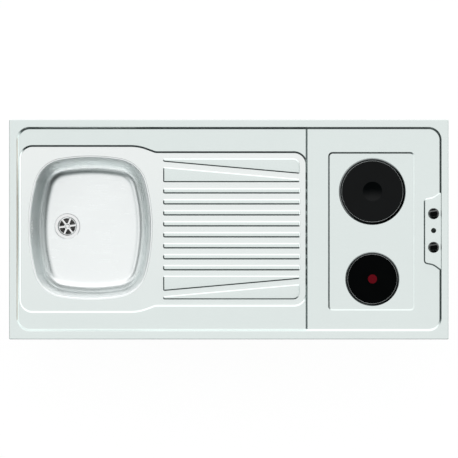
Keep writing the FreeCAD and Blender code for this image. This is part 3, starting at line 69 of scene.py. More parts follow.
def length(name, description, default):
    return FloatProperty(name=name, description=description, default=default, unit="LENGTH",
                         precision=5)


def colour(name, description, default):
    return FloatVectorProperty(name=name, description=description, default=default, size=3,
                               subtype="COLOR", min=0.0, max=1.0)


class SheetSizes(bpy.types.PropertyGroup):
    """Levels and steps of the pressed sheet"""
    half_length: length("Half length", "From the middle to the right edge", 0.600)
    half_depth: length("Half depth", "From the middle to the back edge", 0.300)
    corner: length("Corner", "Plan radius of the folded corners", 0.003)
    fold: length("Fold", "Radius of the fold at the rim", 0.0018)
    steel: length("Steel", "Thickness of the sheet", 0.0008)
    rim: length("Rim", "Level of the rim", 0.038)
    sink_deck: length("Sink deck", "Level of the deck round bowl and drainer", 0.031)
    hob_deck: length("Hob deck", "Level of the hob deck", 0.034)
    well: length("Surround", "Level of the drainer and the bowl surround", 0.027)
    field: length("Hob field", "Level of the sunk hob field", 0.0324)
    strip: length("Control strip", "Level of the raised control strip", 0.0365)
    step_left: length("Left step", "Top edge of the outer step, left", -0.5802)
    step_right: length("Right step", "Top edge of the outer step, right", 0.5813)
    step_back: length("Back step", "Top edge of the outer step, back", 0.2803)
    step_front: length("Front step", "Top edge of the outer step, front", -0.278)
    step_round: length("Step corner", "Corner radius of the outer step", 0.036)
    step_run: length("Step width", "Width in plan of the outer step", 0.0067)
    divider: length("Divider", "Edge of the hob deck beside the drainer", 0.2156)
    divider_run: length("Divider width", "Width in plan of the divider's step", 0.0064)
    well_left: length("Surround left", "Foot of the surround's left step", -0.5676)
    well_right: length("Surround right", "Foot of the surround's right step", 0.2090)
    well_step: length("Surround step", "Width in plan of the surround's step", 0.0055)
    opening_roll: length("Opening roll", "Rolled edge of the bowl opening", 0.0014)


class DrainerSizes(bpy.types.PropertyGroup):
    """Ribs and wedges of the drainer"""
    first: length("First rib", "Middle of the front rib", -0.1043)
    pitch: length("Pitch", "Distance from rib to rib", 0.030)
    count: IntProperty(name="Ribs", description="Number of ribs", default=8, min=1)
    left: length("Left end", "Left end of the ribs", -0.178)
    right: length("Right end", "Right end of the ribs", 0.193)
    width: length("Width", "Width of a rib at half height", 0.0114)
    run: length("Slope", "Width in plan of a rib's slope", 0.0036)
    rise: length("Height", "Height of ribs and wedges", 0.0025)
    margin: length("Wedge margin", "Outer wedges inside the drainer's back and front lines", 0.016)
    span: length("Wedge span", "Far side of the inner wedges from those lines", 0.0777)
    narrow: length("Narrow end", "Narrow end of a wedge", 0.0057)
    wide: length("Wide end", "Wide end of a wedge", 0.0385)
    wedge_round: length("Wedge corner", "Radius of the two outer wedge corners", 0.016)


class BowlSizes(bpy.types.PropertyGroup):
    """The deep-drawn bowl"""
    middle_x: length("Middle X", "Middle of the opening", -0.3785)
    middle_y: length("Middle Y", "Middle of the opening", 0.0046)
    half_x: length("Half width", "Half the opening along X", 0.169)
    half_y: length("Half depth", "Half the opening along Y", 0.196)
    bulge: length("Side radius", "Radius of the bulged sides", 0.480)
    corner: length("Corner radius", "Corner radius of the opening", 0.088)
    flange: length("Flange", "Flange under the sheet, outside the opening", 0.008)
    ledge: length("Ledge", "Ledge between the opening and the wall", 0.005)
    ledge_level: length("Ledge level", "Upper side of the ledge", 0.0262)
    ledge_round: length("Ledge round", "Round from the ledge to the wall", 0.0030)
    floor: length("Floor", "Level of the bowl floor", -0.123)
    lean: length("Lean", "How far the walls lean in", 0.013)
    sweep: length("Sweep", "Radius between wall and floor", 0.036)
    steel: length("Steel", "Thickness of the wall", 0.0009)
    overflow_y: length("Overflow", "Middle of the row of overflow holes", 0.0022)
    overflow_level: length("Overflow level", "Height of the overflow holes", -0.002)
    overflow_radius: length("Overflow hole", "Radius of an overflow hole", 0.0025)


class WasteSizes(bpy.types.PropertyGroup):
    """Strainer of the waste"""
    x: length("Axis X", "Axis of the waste", -0.448)
    y: length("Axis Y", "Axis of the waste", 0.009)
    flange: length("Flange radius", "Outer radius of the strainer", 0.0355)
    throat: length("Throat radius", "Radius of the sunk grid", 0.0252)
    hole: length("Hole radius", "Hole in the bowl floor", 0.028)
    hub: length("Hub radius", "Middle of the grid", 0.0085)
    sector: length("Sector radius", "Outer radius of the openings", 0.0225)
    spoke: length("Spoke", "Width of a spoke", 0.0046)
    first_angle: FloatProperty(name="First spoke", description="Turn of the first spoke",
                               default=math.radians(8), subtype="ANGLE")
    spokes: IntProperty(name="Spokes", description="Number of spokes", default=6, min=2)


class HobSizes(bpy.types.PropertyGroup):
    """Hotplates and the sunk field they stand in"""
    field_left: length("Field left", "Left edge of the hob field", 0.2708)
    field_right: length("Field right", "Right edge of the hob field", 0.5079)
    field_back: length("Field back", "Back edge of the hob field", 0.2119)
    field_front: length("Field front", "Front edge of the hob field", -0.2218)
    field_round: length("Field corner", "Corner radius of the hob field", 0.0125)
    field_run: length("Field step", "Width in plan of the field's step", 0.005)
    x: length("Plates X", "Axis of both hotplates", 0.392)
    rear_y: length("Rear plate", "Axis of the rear hotplate", 0.104)
    front_y: length("Front plate", "Axis of the front hotplate", -0.135)
    rear_face: length("Rear face", "Radius of the rear cast face", 0.083)
    front_face: length("Front face", "Radius of the front cast face", 0.067)
    rear_ring: length("Rear ring", "Outer radius of the rear trim ring", 0.0915)
    front_ring: length("Front ring", "Outer radius of the front trim ring", 0.074)
    rise: length("Plate height", "Cast face above the field", 0.009)
    dish: length("Dish", "Radius of the sunk middle of the rear plate", 0.0265)
    dot: length("Red dot", "Radius of the red mark on the front plate", 0.0124)


class ControlSizes(bpy.types.PropertyGroup):
    """Raised strip, knobs and indicator lamp"""
    strip_left: length("Strip left", "Foot of the raised strip", 0.532)
    strip_back: length("Strip back", "Back corner of the strip", 0.0845)
    strip_front: length("Strip front", "Front corner of the strip", -0.0935)
    strip_run: length("Strip slope", "Width in plan of the strip's slope", 0.0044)
    x: length("Axis X", "Axis of knobs and lamp", 0.559)
    rear_y: length("Rear knob", "Axis of the rear knob", 0.0433)
    front_y: length("Front knob", "Axis of the front knob", -0.0485)
    lamp_y: length("Lamp", "Axis of the lamp", -0.0028)
    knob: length("Knob radius", "Radius of the skirt", 0.0153)
    skirt: length("Skirt height", "Height of the skirt", 0.007)
    height: length("Knob height", "Height of the knob", 0.019)
    grip: length("Grip width", "Width of the grip bar", 0.019)
    turn: FloatProperty(name="Grip turn", description="Turn of the grip bar at rest",
                        default=math.radians(8), subtype="ANGLE")
    lamp: length("Lamp radius", "Radius of the lamp lens", 0.0067)


class Colours(bpy.types.PropertyGroup):
    """Main colours"""
    sheet: colour("Sheet", "Satin stainless sheet", (0.73, 0.79, 0.775))
    bowl: colour("Bowl", "Satin stainless bowl", (0.95, 0.985, 0.98))
    iron: colour("Hotplate", "Black coat of the cast plates", (0.0018, 0.0026, 0.0028))
    red: colour("Red dot", "Enamel of the red mark", (0.15, 0.001, 0.007))
    black: colour("Knobs", "Black plastic", (0.0016, 0.0020, 0.0020))
    timber: colour("Timber", "Planed spruce", (0.62, 0.47, 0.30))


class StageSizes(bpy.types.PropertyGroup):
    """Camera, floor and the light of the studio"""
    distance: length("Camera height", "Camera above the rim", 10.0)
    view_width: length("View width", "Width of the picture at the rim", 1.2503)
    floor: length("Floor", "Level of the floor", -0.2055)
    zenith: FloatProperty(name="Overhead", description="Light from above", default=1.04, min=0.0)
    bright: FloatProperty(name="Bright side", description="Light from the bright sides",
                          default=1.35, min=0.0)
    screen: FloatProperty(name="Low screen", description="Light from the low screen",
                          default=1.5, min=0.0)
    dark: FloatProperty(name="Dark side", description="Light from the dark sides",
                        default=0.03, min=0.0)
    shoulder: FloatProperty(name="Left shoulder", description="Light from half way up on the left",
                            default=0.15, min=0.0)


SETTINGS = {
    "kitchenette_sheet": SheetSizes, "kitchenette_drainer": DrainerSizes,
    "kitchenette_bowl": BowlSizes, "kitchenette_waste": WasteSizes,
    "kitchenette_hob": HobSizes, "kitchenette_controls": ControlSizes,
    "kitchenette_colours": Colours, "kitchenette_stage": StageSizes,
}


def settings(name):
    return getattr(bpy.context.scene, "kitchenette_" + name)


# ---- outlines and meshes ----

# Rounded share of each end of a pressed step, and of the hob field's flatter one.
STEP_ROUNDING, FIELD_ROUNDING = 0.14, 0.12
# Where along its width the outer step is down at the control strip's level.
STEP_AT_STRIP = 0.3925
# How far a chord may lie inside its arc, in metres: usual, coarse and turned outlines.
SAG, COARSE_SAG, TURNED_SAG = 0.00004, 0.00008, 0.00003
# Points this close are one, and lengths under the last count as none, in metres.
MERGE, TINY = 1e-6, 1e-6
# Outlines are laid in millimetres, with lines this close joined.
MILLI, JOIN = 1000, 0.004


def arc(centre, radius, first, sweep, steps):
    """Points along an arc, both ends among them."""
    angles = [first + sweep * step / steps for step in range(steps + 1)]
    return [(centre[0] + radius * math.cos(a), centre[1] + radius * math.sin(a)) for a in angles]


def rounded(corners, sag=SAG):
    """Closed outline through (x, y, radius) corners, anticlockwise; arcs keep to a small sag."""
    line = []
    for index, (x, y, radius) in enumerate(corners):
        here = Vector((x, y))
        back = (Vector(corners[index - 1][:2]) - here).normalized()
        ahead = (Vector(corners[(index + 1) % len(corners)][:2]) - here).normalized()
        half = back.angle(ahead) / 2 if radius > TINY else math.pi / 2
        if half > math.pi / 2 - 1e-4:
            line.append((x, y))
            continue
        start, end = (here + way * (radius / math.tan(half)) for way in (back, ahead))
        centre = here + (back + ahead).normalized() * (radius / math.sin(half))
        first = math.atan2(start.y - centre.y, start.x - centre.x)
        sweep = math.atan2(end.y - centre.y, end.x - centre.x) - first
        sweep = (sweep + math.pi) % (2 * math.pi) - math.pi
        steps = max(3, math.ceil(abs(sweep) / (2 * math.acos(max(0.0, 1 - sag / radius)))))
        line += arc(centre, radius, first, sweep, steps)
    return np.array(line)


def grown(corners, grow):
    """The corners of an anticlockwise outline moved outwards, with their radii changed to match."""
    moved = []
    count = len(corners)
    for index, (x, y, radius) in enumerate(corners):
        here = Vector((x, y))
        along_in = (here - Vector(corners[index - 1][:2])).normalized()
        along_out = (Vector(corners[(index + 1) % count][:2]) - here).normalized()
        out_in, out_out = Vector((along_in.y, -along_in.x)), Vector((along_out.y, -along_out.x))
        spot = here + (out_in + out_out) * (grow / (1 + out_in.dot(out_out)))
        convex = along_in.cross(along_out) > 0
        size = max(0.0, radius + grow if convex else radius - grow) if radius > 0 else 0.0
        moved.append((spot.x, spot.y, size))
    return moved


def box_corners(left, right, front, back, radius=0.0):
    return [(left, front, radius), (right, front, radius), (right, back, radius),
            (left, back, radius)]


def circle(x, y, radius, count=96):
    angles = np.linspace(0, 2 * math.pi, count, endpoint=False)
    return np.stack([x + radius * np.cos(angles), y + radius * np.sin(angles)], 1)


def outside(points, loop):
    """Distance of each point from a closed loop, negative inside."""
    ends = np.roll(loop, -1, 0)
    along = ends - loop
    length2 = (along ** 2).sum(1)
    result = np.empty(len(points))
    for start in range(0, len(points), 4000):
        part = points[start:start + 4000]
        to = part[:, None, :] - loop[None]
        share = np.clip((to * along).sum(2) / length2, 0, 1)
        gap = to - along * share[..., None]
        near = np.sqrt((gap ** 2).sum(2).min(1))
        above = loop[None, :, 1] > part[:, None, 1]
        crosses = above != (ends[None, :, 1] > part[:, None, 1])
        rise_by = np.where(along[:, 1] == 0, 1e-12, along[:, 1])
        where = loop[:, 0] + (part[:, None, 1] - loop[:, 1]) * along[:, 0] / rise_by
        inside = (crosses & (part[:, None, 0] < where)).sum(1) % 2 == 1
        result[start:start + 4000] = np.where(inside, -near, near)
    return result


def ease(share, rounding=STEP_ROUNDING):
    """From 0 to 1 along a pressed step: a straight slope with rounded ends."""
    t = np.clip(share, 0, 1)
    bend = 2 * rounding * (1 - rounding)
    slope = (t - rounding / 2) / (1 - rounding)
    return np.where(t < rounding, t * t / bend, np.where(t > 1 - rounding, 1 - (1 - t) ** 2 / bend, slope))


def ease_lines(rounding=STEP_ROUNDING):
    """Where along a step the mesh needs a line."""
    low = [0, rounding / 3, rounding * 2 / 3, rounding]
    return low + [0.5] + [1 - share for share in reversed(low)]


def round_drop(away, radius):
    """How far a quarter round lies below its crest, by the distance from its outer edge."""
    along = np.clip(away, 0, radius)
    return radius - np.sqrt(np.clip(radius ** 2 - (radius - along) ** 2, 0, None))


class Layout:
    """Lines seen from above, in metres, and the triangles between them."""

    def __init__(self):
        self.points, self.edges = [], []

    def line(self, points, closed=True, spacing=0.03):
        points = np.asarray(points, float)
        ends = np.roll(points, -1, 0) if closed else points[1:]
        laid = []
        for a, b in zip(points, ends):
            pieces = max(1, math.ceil(np.linalg.norm(b - a) / spacing))
            laid += [a + (b - a) * step / pieces for step in range(pieces)]
        if not closed:
            laid.append(points[-1])
        first = len(self.points)
        self.points += laid
        last = len(self.points) - 1
        self.edges += [(i, i + 1) for i in range(first, last)]
        if closed:
            self.edges.append((last, first))

    def outline(self, corners, grow, sag=SAG):
        self.line(rounded(grown(corners, grow), sag))

    def scatter(self, left, right, front, back, spacing):
        self.points += [np.array((x, y)) for x in np.arange(left, right, spacing)
                        for y in np.arange(front, back, spacing)]

    def triangles(self, inside_of, outside_of):
        """Points and triangles inside one loop and outside the others."""
        spots = [Vector((float(p[0]) * MILLI, float(p[1]) * MILLI)) for p in self.points]
        found, _, faces, _, _, _ = delaunay_2d_cdt(spots, self.edges, [], 0, JOIN)
        flat = np.array([(v.x, v.y) for v in found]) / MILLI
        faces = np.array([tuple(face) for face in faces if len(face) == 3])
        a, b, c = flat[faces[:, 0]], flat[faces[:, 1]], flat[faces[:, 2]]
        area = np.cross(b - a, c - a)
        faces = np.where((area < 0)[:, None], faces[:, ::-1], faces)
        keep = (np.abs(area) > 1e-13) & (outside((a + b + c) / 3, inside_of) < 0)
        for loop in outside_of:
            keep &= outside((a + b + c) / 3, loop) > 0
        return flat, faces[keep]


def new_mesh(name, vertices, faces):
    mesh = bpy.data.meshes.new(name)
    mesh.from_pydata([tuple(map(float, v)) for v in vertices], [], [tuple(map(int, f)) for f in faces])
    mesh.validate()
    return mesh


@contextmanager
def edited(mesh):
    """The mesh as a bmesh, written back at the end."""
    work = bmesh.new()
    work.from_mesh(mesh)
    yield work
    work.to_mesh(mesh)
    work.free()


def merge_doubles(work, distance):
    bmesh.ops.remove_doubles(work, verts=work.verts, dist=distance)
    loose = [vertex for vertex in work.verts if not vertex.link_faces]
    bmesh.ops.delete(work, geom=loose, context="VERTS")


def face_up(work, judged):
    """Makes all faces agree, and turns them over where the judged ones look down."""
    bmesh.ops.recalc_face_normals(work, faces=work.faces)
    if sum(face.normal.z for face in judged) < 0:
        bmesh.ops.reverse_faces(work, faces=work.faces)


def tidy_mesh(mesh):
    with edited(mesh) as work:
        merge_doubles(work, MERGE)
        bmesh.ops.recalc_face_normals(work, faces=work.faces)
    return mesh


def object_of(name, mesh):
    piece = bpy.data.objects.new(name, mesh)
    bpy.context.scene.collection.objects.link(piece)
    return piece


def settle(piece):
    """The piece's modifiers made into its mesh."""
    graph = bpy.context.evaluated_depsgraph_get()
    mesh = bpy.data.meshes.new_from_object(piece.evaluated_get(graph), depsgraph=graph)
    piece.modifiers.clear()
    piece.data = mesh


def modify(piece, kind, **values):
    """Adds a modifier with its values and makes it into the mesh."""
    modifier = piece.modifiers.new(kind.title(), kind)
    for name, value in values.items():
        setattr(modifier, name, value)
    settle(piece)


def cut_out(piece, mesh):
    """Takes a closed mesh out of the piece."""
    cutter = object_of(mesh.name, mesh)
    modify(piece, "BOOLEAN", operation="DIFFERENCE", solver="EXACT", object=cutter)
    bpy.data.objects.remove(cutter)


def finish_piece(piece, material, nodes=(), body="top", sharp=40):
    """Smooth shading with sharp edges kept, material, body, and the nodes it stands for."""
    mesh = piece.data
    mesh.materials.clear()
    mesh.materials.append(material)
    mesh.polygons.foreach_set("use_smooth", [True] * len(mesh.polygons))
    mesh.polygons.foreach_set("material_index", [0] * len(mesh.polygons))
    mesh.set_sharp_from_angle(angle=math.radians(sharp))
    modify(piece, "WEIGHTED_NORMAL", mode="FACE_AREA", keep_sharp=True)
    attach(piece, body)
    if nodes:
        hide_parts(*nodes)


def lofted(rings, capped=True):
    """Vertices and faces of a shell through closed rings of equal counts."""
    count = len(rings[0])
    vertices = [point for ring in rings for point in ring]
    faces = []
    for level in range(len(rings) - 1):
        for step in range(count):
            a, b = level * count + step, level * count + (step + 1) % count
            faces.append((a, b, b + count, a + count))
    for level in (0, len(rings) - 1) if capped else ():
        hub = len(vertices)
        vertices.append(np.mean(vertices[level * count:(level + 1) * count], axis=0))
        faces += [(level * count + step, level * count + (step + 1) % count, hub) for step in range(count)]
    return vertices, faces


def turned(name, profile, at, count=96):
    """A closed shell turned about +Z from (radius, height, round) corners, anticlockwise."""
    angles = np.linspace(0, 2 * math.pi, count, endpoint=False)
    vertices, faces, columns = [], [], []
    for radius, height in rounded(profile, TURNED_SAG):
        if radius < TINY:
            columns.append([len(vertices)] * count)
            vertices.append((at[0], at[1], at[2] + height))
            continue
        columns.append(list(range(len(vertices), len(vertices) + count)))
        vertices += [(at[0] + radius * math.cos(a), at[1] + radius * math.sin(a), at[2] + height)
                     for a in angles]
    for first, second in zip(columns, columns[1:] + columns[:1]):
        if first[0] == first[1] and second[0] == second[1]:
            continue
        for step in range(count):
            after = (step + 1) % count
            face = [first[step], first[after], second[after], second[step]]
            faces.append([v for i, v in enumerate(face) if v != face[i - 1]])
    return tidy_mesh(new_mesh(name, vertices, faces))


def joined(name, *meshes):
    """One mesh of several."""
    whole = bpy.data.meshes.new(name)
    with edited(whole) as work:
        for mesh in meshes:
            work.from_mesh(mesh)
    return whole


# ---- node trees ----

class Nodes:
    """Adds nodes to a tree; a socket given as an input is linked, anything else is its value."""

    def __init__(self, tree):
        self.tree = tree
        self.column = 0

    def feed(self, inputs, values):
        """Links the sockets among the values and sets the rest."""
        for socket, value in values.items():
            if isinstance(value, bpy.types.NodeSocket):
                self.tree.links.new(value, inputs[socket])
            else:
                inputs[socket].default_value = value

    def add(self, kind, inputs=None, **options):
        node = self.tree.nodes.new(kind)
        node.location = (200 * self.column, -60 * (self.column % 5))
        self.column += 1
        for option, value in options.items():
            setattr(node, option, value)
        self.feed(node.inputs, inputs or {})
        return node

    def maths(self, operation, *values, clamp=False):
        inputs = dict(enumerate(values))
        return self.add("ShaderNodeMath", inputs, operation=operation, use_clamp=clamp).outputs[0]

    def signs(self):
        """Plus, minus, times, over, larger and smaller, each of which adds a maths node."""
        return [partial(self.maths, kind)
                for kind in ("ADD", "SUBTRACT", "MULTIPLY", "DIVIDE", "MAXIMUM", "MINIMUM")]

    def parts(self, vector):
        return self.add("ShaderNodeSeparateXYZ", {0: vector}).outputs

    def place(self):
        """X, Y and Z on the object."""
        return self.parts(self.add("ShaderNodeTexCoord").outputs["Object"])

    def ramp(self, value, low, high, to_low=0.0, to_high=1.0, smooth=False):
        inputs = {"Value": value, "From Min": low, "From Max": high, "To Min": to_low, "To Max": to_high}
        kind = "SMOOTHSTEP" if smooth else "LINEAR"
        return self.add("ShaderNodeMapRange", inputs, interpolation_type=kind).outputs["Result"]

    def mix(self, share, first, second):
        """Mixes two colours; plain numbers are greys."""
        sockets = {0: share}
        for index, value in ((6, first), (7, second)):
            if isinstance(value, (int, float)):
                value = (value, value, value, 1)
            elif not isinstance(value, bpy.types.NodeSocket) and len(value) == 3:
                value = (*value, 1)
            sockets[index] = value
        return self.add("ShaderNodeMix", sockets, data_type="RGBA").outputs[2]

    def noise(self, vector, scale, detail=2.0, roughness=0.5):
        inputs = {"Vector": vector, "Scale": scale, "Detail": detail, "Roughness": roughness}
        return self.add("ShaderNodeTexNoise", inputs).outputs[0]

    def effect(self, name, inputs):
        """A shared effect placed in a material; returns its outputs."""
        return self.add("ShaderNodeGroup", inputs, node_tree=GROUPS[name]).outputs


def cleared(owner):
    """The empty node tree of a material or a world."""
    owner.use_nodes = True
    owner.node_tree.nodes.clear()
    return owner.node_tree


def new_group(kind, name, inputs, outputs):
    """An empty node group. Its sockets have a kind each, or are floats with a default number."""
    tree = bpy.data.node_groups.new(name, kind + "NodeTree")
    for way, sockets in (("INPUT", inputs), ("OUTPUT", outputs)):
        for label, sort in sockets.items():
            plain = isinstance(sort, float)
            socket_type = "NodeSocket" + ("Float" if plain else sort)
            socket = tree.interface.new_socket(label, in_out=way, socket_type=socket_type)
            if plain:
                socket.default_value = sort
    nodes = Nodes(tree)
    return tree, nodes, nodes.add("NodeGroupInput").outputs


def geometry_group(name, inputs):
    """An empty geometry nodes group with a material among its inputs."""
    sockets = {"Geometry": "Geometry", **inputs, "Material": "Material"}
    return new_group("Geometry", name, sockets, {"Geometry": "Geometry"})


def end_group(nodes, given, geometry):
    """Ends a geometry nodes group: real geometry in the given material."""
    real = nodes.add("GeometryNodeRealizeInstances", {0: geometry}).outputs[0]
    dressed = nodes.add("GeometryNodeSetMaterial", {"Geometry": real, "Material": given["Material"]})
    nodes.add("NodeGroupOutput", {0: dressed.outputs[0]})


def grain_group():
    """Fine brushed lines along one direction, with their shade and height."""
    tree, nodes, given = new_group(
        "Shader", "Brushed grain", {"Vector": "Vector", "Lines": 900.0, "Line length": 0.06},
        {"Shade": "Float", "Height": "Float"})
    plus, _, times, over, _, _ = nodes.signs()
    x, y, z = nodes.parts(given["Vector"])
    stretched = nodes.add("ShaderNodeCombineXYZ", {
        0: over(x, given["Line length"]), 1: times(y, given["Lines"]), 2: times(z, given["Lines"])})
    fine = nodes.noise(stretched.outputs[0], 1.0, 3.0, 0.6)
    broad = nodes.noise(given["Vector"], 9.0)
    nodes.add("NodeGroupOutput", {"Shade": plus(times(fine, 0.75), times(broad, 0.25)), "Height": fine})
    return tree


def speckle_group():
    """Small grains of two sizes, as on castings and mouldings."""
    tree, nodes, given = new_group(
        "Shader", "Speckle", {"Vector": "Vector", "Grain": 900.0, "Patch": 14.0},
        {"Grains": "Float", "Patches": "Float"})
    grains = nodes.add("ShaderNodeTexVoronoi", {"Vector": given["Vector"], "Scale": given["Grain"]})
    soft = nodes.noise(given["Vector"], given["Grain"], 3.0, 0.6)
    nodes.add("NodeGroupOutput", {
        "Grains": nodes.maths("MULTIPLY", grains.outputs["Distance"], soft),
        "Patches": nodes.noise(given["Vector"], given["Patch"], 4.0, 0.55)})
    return tree


def blank_material(name):
    """A material with its nodes, the coordinates on the object and the shader's inputs."""
    material = bpy.data.materials.new(name)
    nodes = Nodes(cleared(material))
    spots = nodes.add("ShaderNodeTexCoord").outputs["Object"]
    shader = nodes.add("ShaderNodeBsdfPrincipled")
    nodes.add("ShaderNodeOutputMaterial", {0: shader.outputs[0]})
    return material, nodes, spots, shader.inputs


def bump(nodes, shader, height, distance, strength=1.0):
    made = nodes.add("ShaderNodeBump", {"Height": height, "Strength": strength, "Distance": distance})
    nodes.feed(shader, {"Normal": made.outputs[0]})


def shaded(nodes, shader, share, tone, darker, lighter=1.0):
    """Base colour between a darker and a lighter shade of one tone."""
    low = tuple(c * darker for c in tone)
    high = tuple(min(1.0, c * lighter) for c in tone)
    nodes.feed(shader, {"Base Color": nodes.mix(share, low, high)})


def paint_light_by_place(material, share_of, tint):
    """Multiplies the base colour by a tint, by a share worked out from the place on the object; this paints
    light and shade by place.
    """
    nodes = Nodes(material.node_tree)
    shader = material.node_tree.nodes["Principled BSDF"].inputs
    plain = shader["Base Color"].links[0].from_socket
    share = share_of(nodes, *nodes.place())
    tinted = nodes.add("ShaderNodeMix", {0: share, 6: plain, 7: (*tint, 1)},
                       data_type="RGBA", blend_type="MULTIPLY")
    nodes.feed(shader, {"Base Color": tinted.outputs[2]})


def sheet_material(name, tone, roughness):
    """Satin sheet whose sunk surround carries a painted highlight, a little brighter towards the wall."""
    material = steel_material(name, tone, roughness, depth=0.0000012)
    # levels, X and Y over which the painted highlight comes in, and its share at the front
    levels, beside_divider, depths, at_front = (0.0284, 0.0272), (0.222, 0.214), (-0.24, 0.22), 0.15

    def painted_highlight_share(nodes, x, y, z):
        sunk, on_left = nodes.ramp(z, *levels), nodes.ramp(x, *beside_divider)
        back = nodes.ramp(y, *depths, at_front, 1.0)
        return nodes.maths("MULTIPLY", nodes.maths("MULTIPLY", sunk, back), on_left)

    # painted highlight: this tint lifts the colour of the sunk surround
    paint_light_by_place(material, painted_highlight_share, (1.14, 1.09, 1.10))
    return material


def ring_material(name, tone, roughness):
    """Polished steel whose crest is darkened by a painted dark reflection."""
    material = steel_material(name, tone, roughness, lines=300.0, depth=0.000001, patches=0.02)
    painted_dark_level = settings("sheet").field + 0.0020
    # painted dark reflection: above this level the crest's colour is made nearly black
    paint_light_by_place(material, lambda nodes, x, y, z: nodes.ramp(z, painted_dark_level, painted_dark_level + 0.0012),
                  (0.04, 0.045, 0.045))
    return material


def steel_material(name, tone, roughness, lines=700.0, depth=0.000004, patches=0.04):
    """Steel or brass brushed along X."""
    material, nodes, spots, shader = blank_material(name)
    grain = nodes.effect("grain", {"Vector": spots, "Lines": lines, "Line length": 0.05})
    shaded(nodes, shader, grain["Shade"], tone, 0.97, 1.03)
    rough = nodes.ramp(grain["Shade"], 0.3, 0.7, roughness - patches, roughness + patches)
    nodes.feed(shader, {"Roughness": rough, "Metallic": 1.0})
    bump(nodes, shader, grain["Height"], depth)
    return material


def speckled_material(name, tone, roughness, grain=900.0, depth=0.00002, darker=0.9, lighter=1.1,
                      metallic=0.0, spread=0.05, gloss=0.5, polished_edges=False):
    """Cast or moulded stuff; its sloping edges may carry a painted sheen, a stronger coat than on its flat
    faces.
    """
    material, nodes, spots, shader = blank_material(name)
    if polished_edges:
        # painted sheen: a coat on the sloping faces that the flat faces lack
        upward = nodes.parts(nodes.add("ShaderNodeNewGeometry").outputs["Normal"])[2]
        nodes.feed(shader, {"Coat Weight": nodes.ramp(upward, 0.97, 0.88), "Coat Roughness": roughness,
                            "Coat IOR": 1.8})
    speckle = nodes.effect("speckle", {"Vector": spots, "Grain": grain})
    shaded(nodes, shader, speckle["Patches"], tone, darker, lighter)
    rough = nodes.ramp(speckle["Patches"], 0.3, 0.7, roughness - spread, roughness + spread)
    nodes.feed(shader, {"Roughness": rough, "Metallic": metallic, "Specular IOR Level": gloss})
    bump(nodes, shader, speckle["Grains"], depth)
    return material


def iron_material(name, tone, centre, coat, coat_roughness, dish=0.0, grooves=1400.0):
    """Cast face with the fine turned grooves of its machining under a black coat."""
    material, nodes, spots, shader = blank_material(name)
    plus, minus, times, *_ = nodes.signs()
    mapped = nodes.add("ShaderNodeMapping", {"Vector": spots, "Location": (-centre[0], -centre[1], 0)})
    x, y, _ = nodes.parts(mapped.outputs[0])
    radius = nodes.maths("SQRT", plus(times(x, x), times(y, y)))
    groove = nodes.maths("SINE", times(radius, grooves * math.pi))
    speckle = nodes.effect("speckle", {"Vector": spots, "Grain": 1500.0, "Patch": 22.0})
    shaded(nodes, shader, speckle["Patches"], tone, 0.55, 1.6)
    rough = nodes.ramp(speckle["Patches"], 0.3, 0.7, 0.34, 0.46)
    dish_edge = (dish + 0.001, dish - 0.001)
    in_dish = nodes.ramp(radius, *dish_edge)
    # painted sheen: the dish's coat is strong at its front and weak at its back
    painted_dish_sheen = nodes.ramp(y, -0.022, 0.010, coat * 1.5, coat * 0.1, smooth=True)
    nodes.feed(shader, {
        "Roughness": times(rough, nodes.ramp(radius, *dish_edge, 1.0, 0.45)),
        "Coat Weight": plus(times(painted_dish_sheen, in_dish), times(minus(1.0, in_dish), coat)),
        "Coat Roughness": coat_roughness, "Specular IOR Level": 0.0})
    bump(nodes, shader, plus(times(groove, 0.35), speckle["Grains"]), 0.00003, 0.6)
    return material


def timber_material(name, tone, axis):
    """Planed softwood with its grain along one axis, 0 for X and 1 for Y."""
    material, nodes, spots, shader = blank_material(name)

    def stretched(fine, along):
        scale = [fine] * 3
        scale[axis] = along
        return nodes.add("ShaderNodeMapping", {"Vector": spots, "Scale": scale}).outputs[0]

    broad = stretched(26.0, 1.6)
    warped = nodes.add("ShaderNodeVectorMath", {0: broad, 1: nodes.noise(broad, 0.8)}, operation="ADD")
    rings = nodes.add("ShaderNodeTexWave", {"Vector": warped.outputs[0], "Scale": 1.3, "Distortion": 3.5,
                                            "Detail": 2.0}, bands_direction="Z")
    fibres = nodes.noise(stretched(900.0, 14.0), 1.0, 3.0, 0.6)
    share = nodes.maths("ADD", nodes.maths("MULTIPLY", rings.outputs[1], 0.55),
                        nodes.maths("MULTIPLY", fibres, 0.45), clamp=True)
    shaded(nodes, shader, share, tone, 0.66, 1.12)
    nodes.feed(shader, {"Roughness": nodes.ramp(fibres, 0.2, 0.8, 0.55, 0.75)})
    bump(nodes, shader, fibres, 0.00012, 0.5)
    return material


def chip_material(name, tone):
    """Pressed wood chips."""
    material, nodes, spots, shader = blank_material(name)
    chips = nodes.add("ShaderNodeTexVoronoi", {"Vector": spots, "Scale": 240.0, "Randomness": 1.0})
    share = nodes.add("ShaderNodeSeparateColor", {0: chips.outputs["Color"]}).outputs[0]
    shaded(nodes, shader, share, tone, 0.62, 1.2)
    nodes.feed(shader, {"Roughness": 0.82})
    bump(nodes, shader, chips.outputs["Distance"], 0.0003, 0.5)
    return material


def woven_material(name, tone):
    """Woven glass sleeve."""
    material, nodes, spots, shader = blank_material(name)
    threads = [nodes.add("ShaderNodeTexWave", {"Vector": spots, "Scale": scale, "Distortion": 0.6},
                         bands_direction=way).outputs[1]
               for scale, way in ((420.0, "DIAGONAL"), (460.0, "Z"))]
    height = nodes.maths("MAXIMUM", *threads)
    shaded(nodes, shader, height, tone, 0.7, 1.05)
    nodes.feed(shader, {"Roughness": 0.7})
    bump(nodes, shader, height, 0.0003, 0.6)
    return material


GROUPS = {}
FINISH = {}


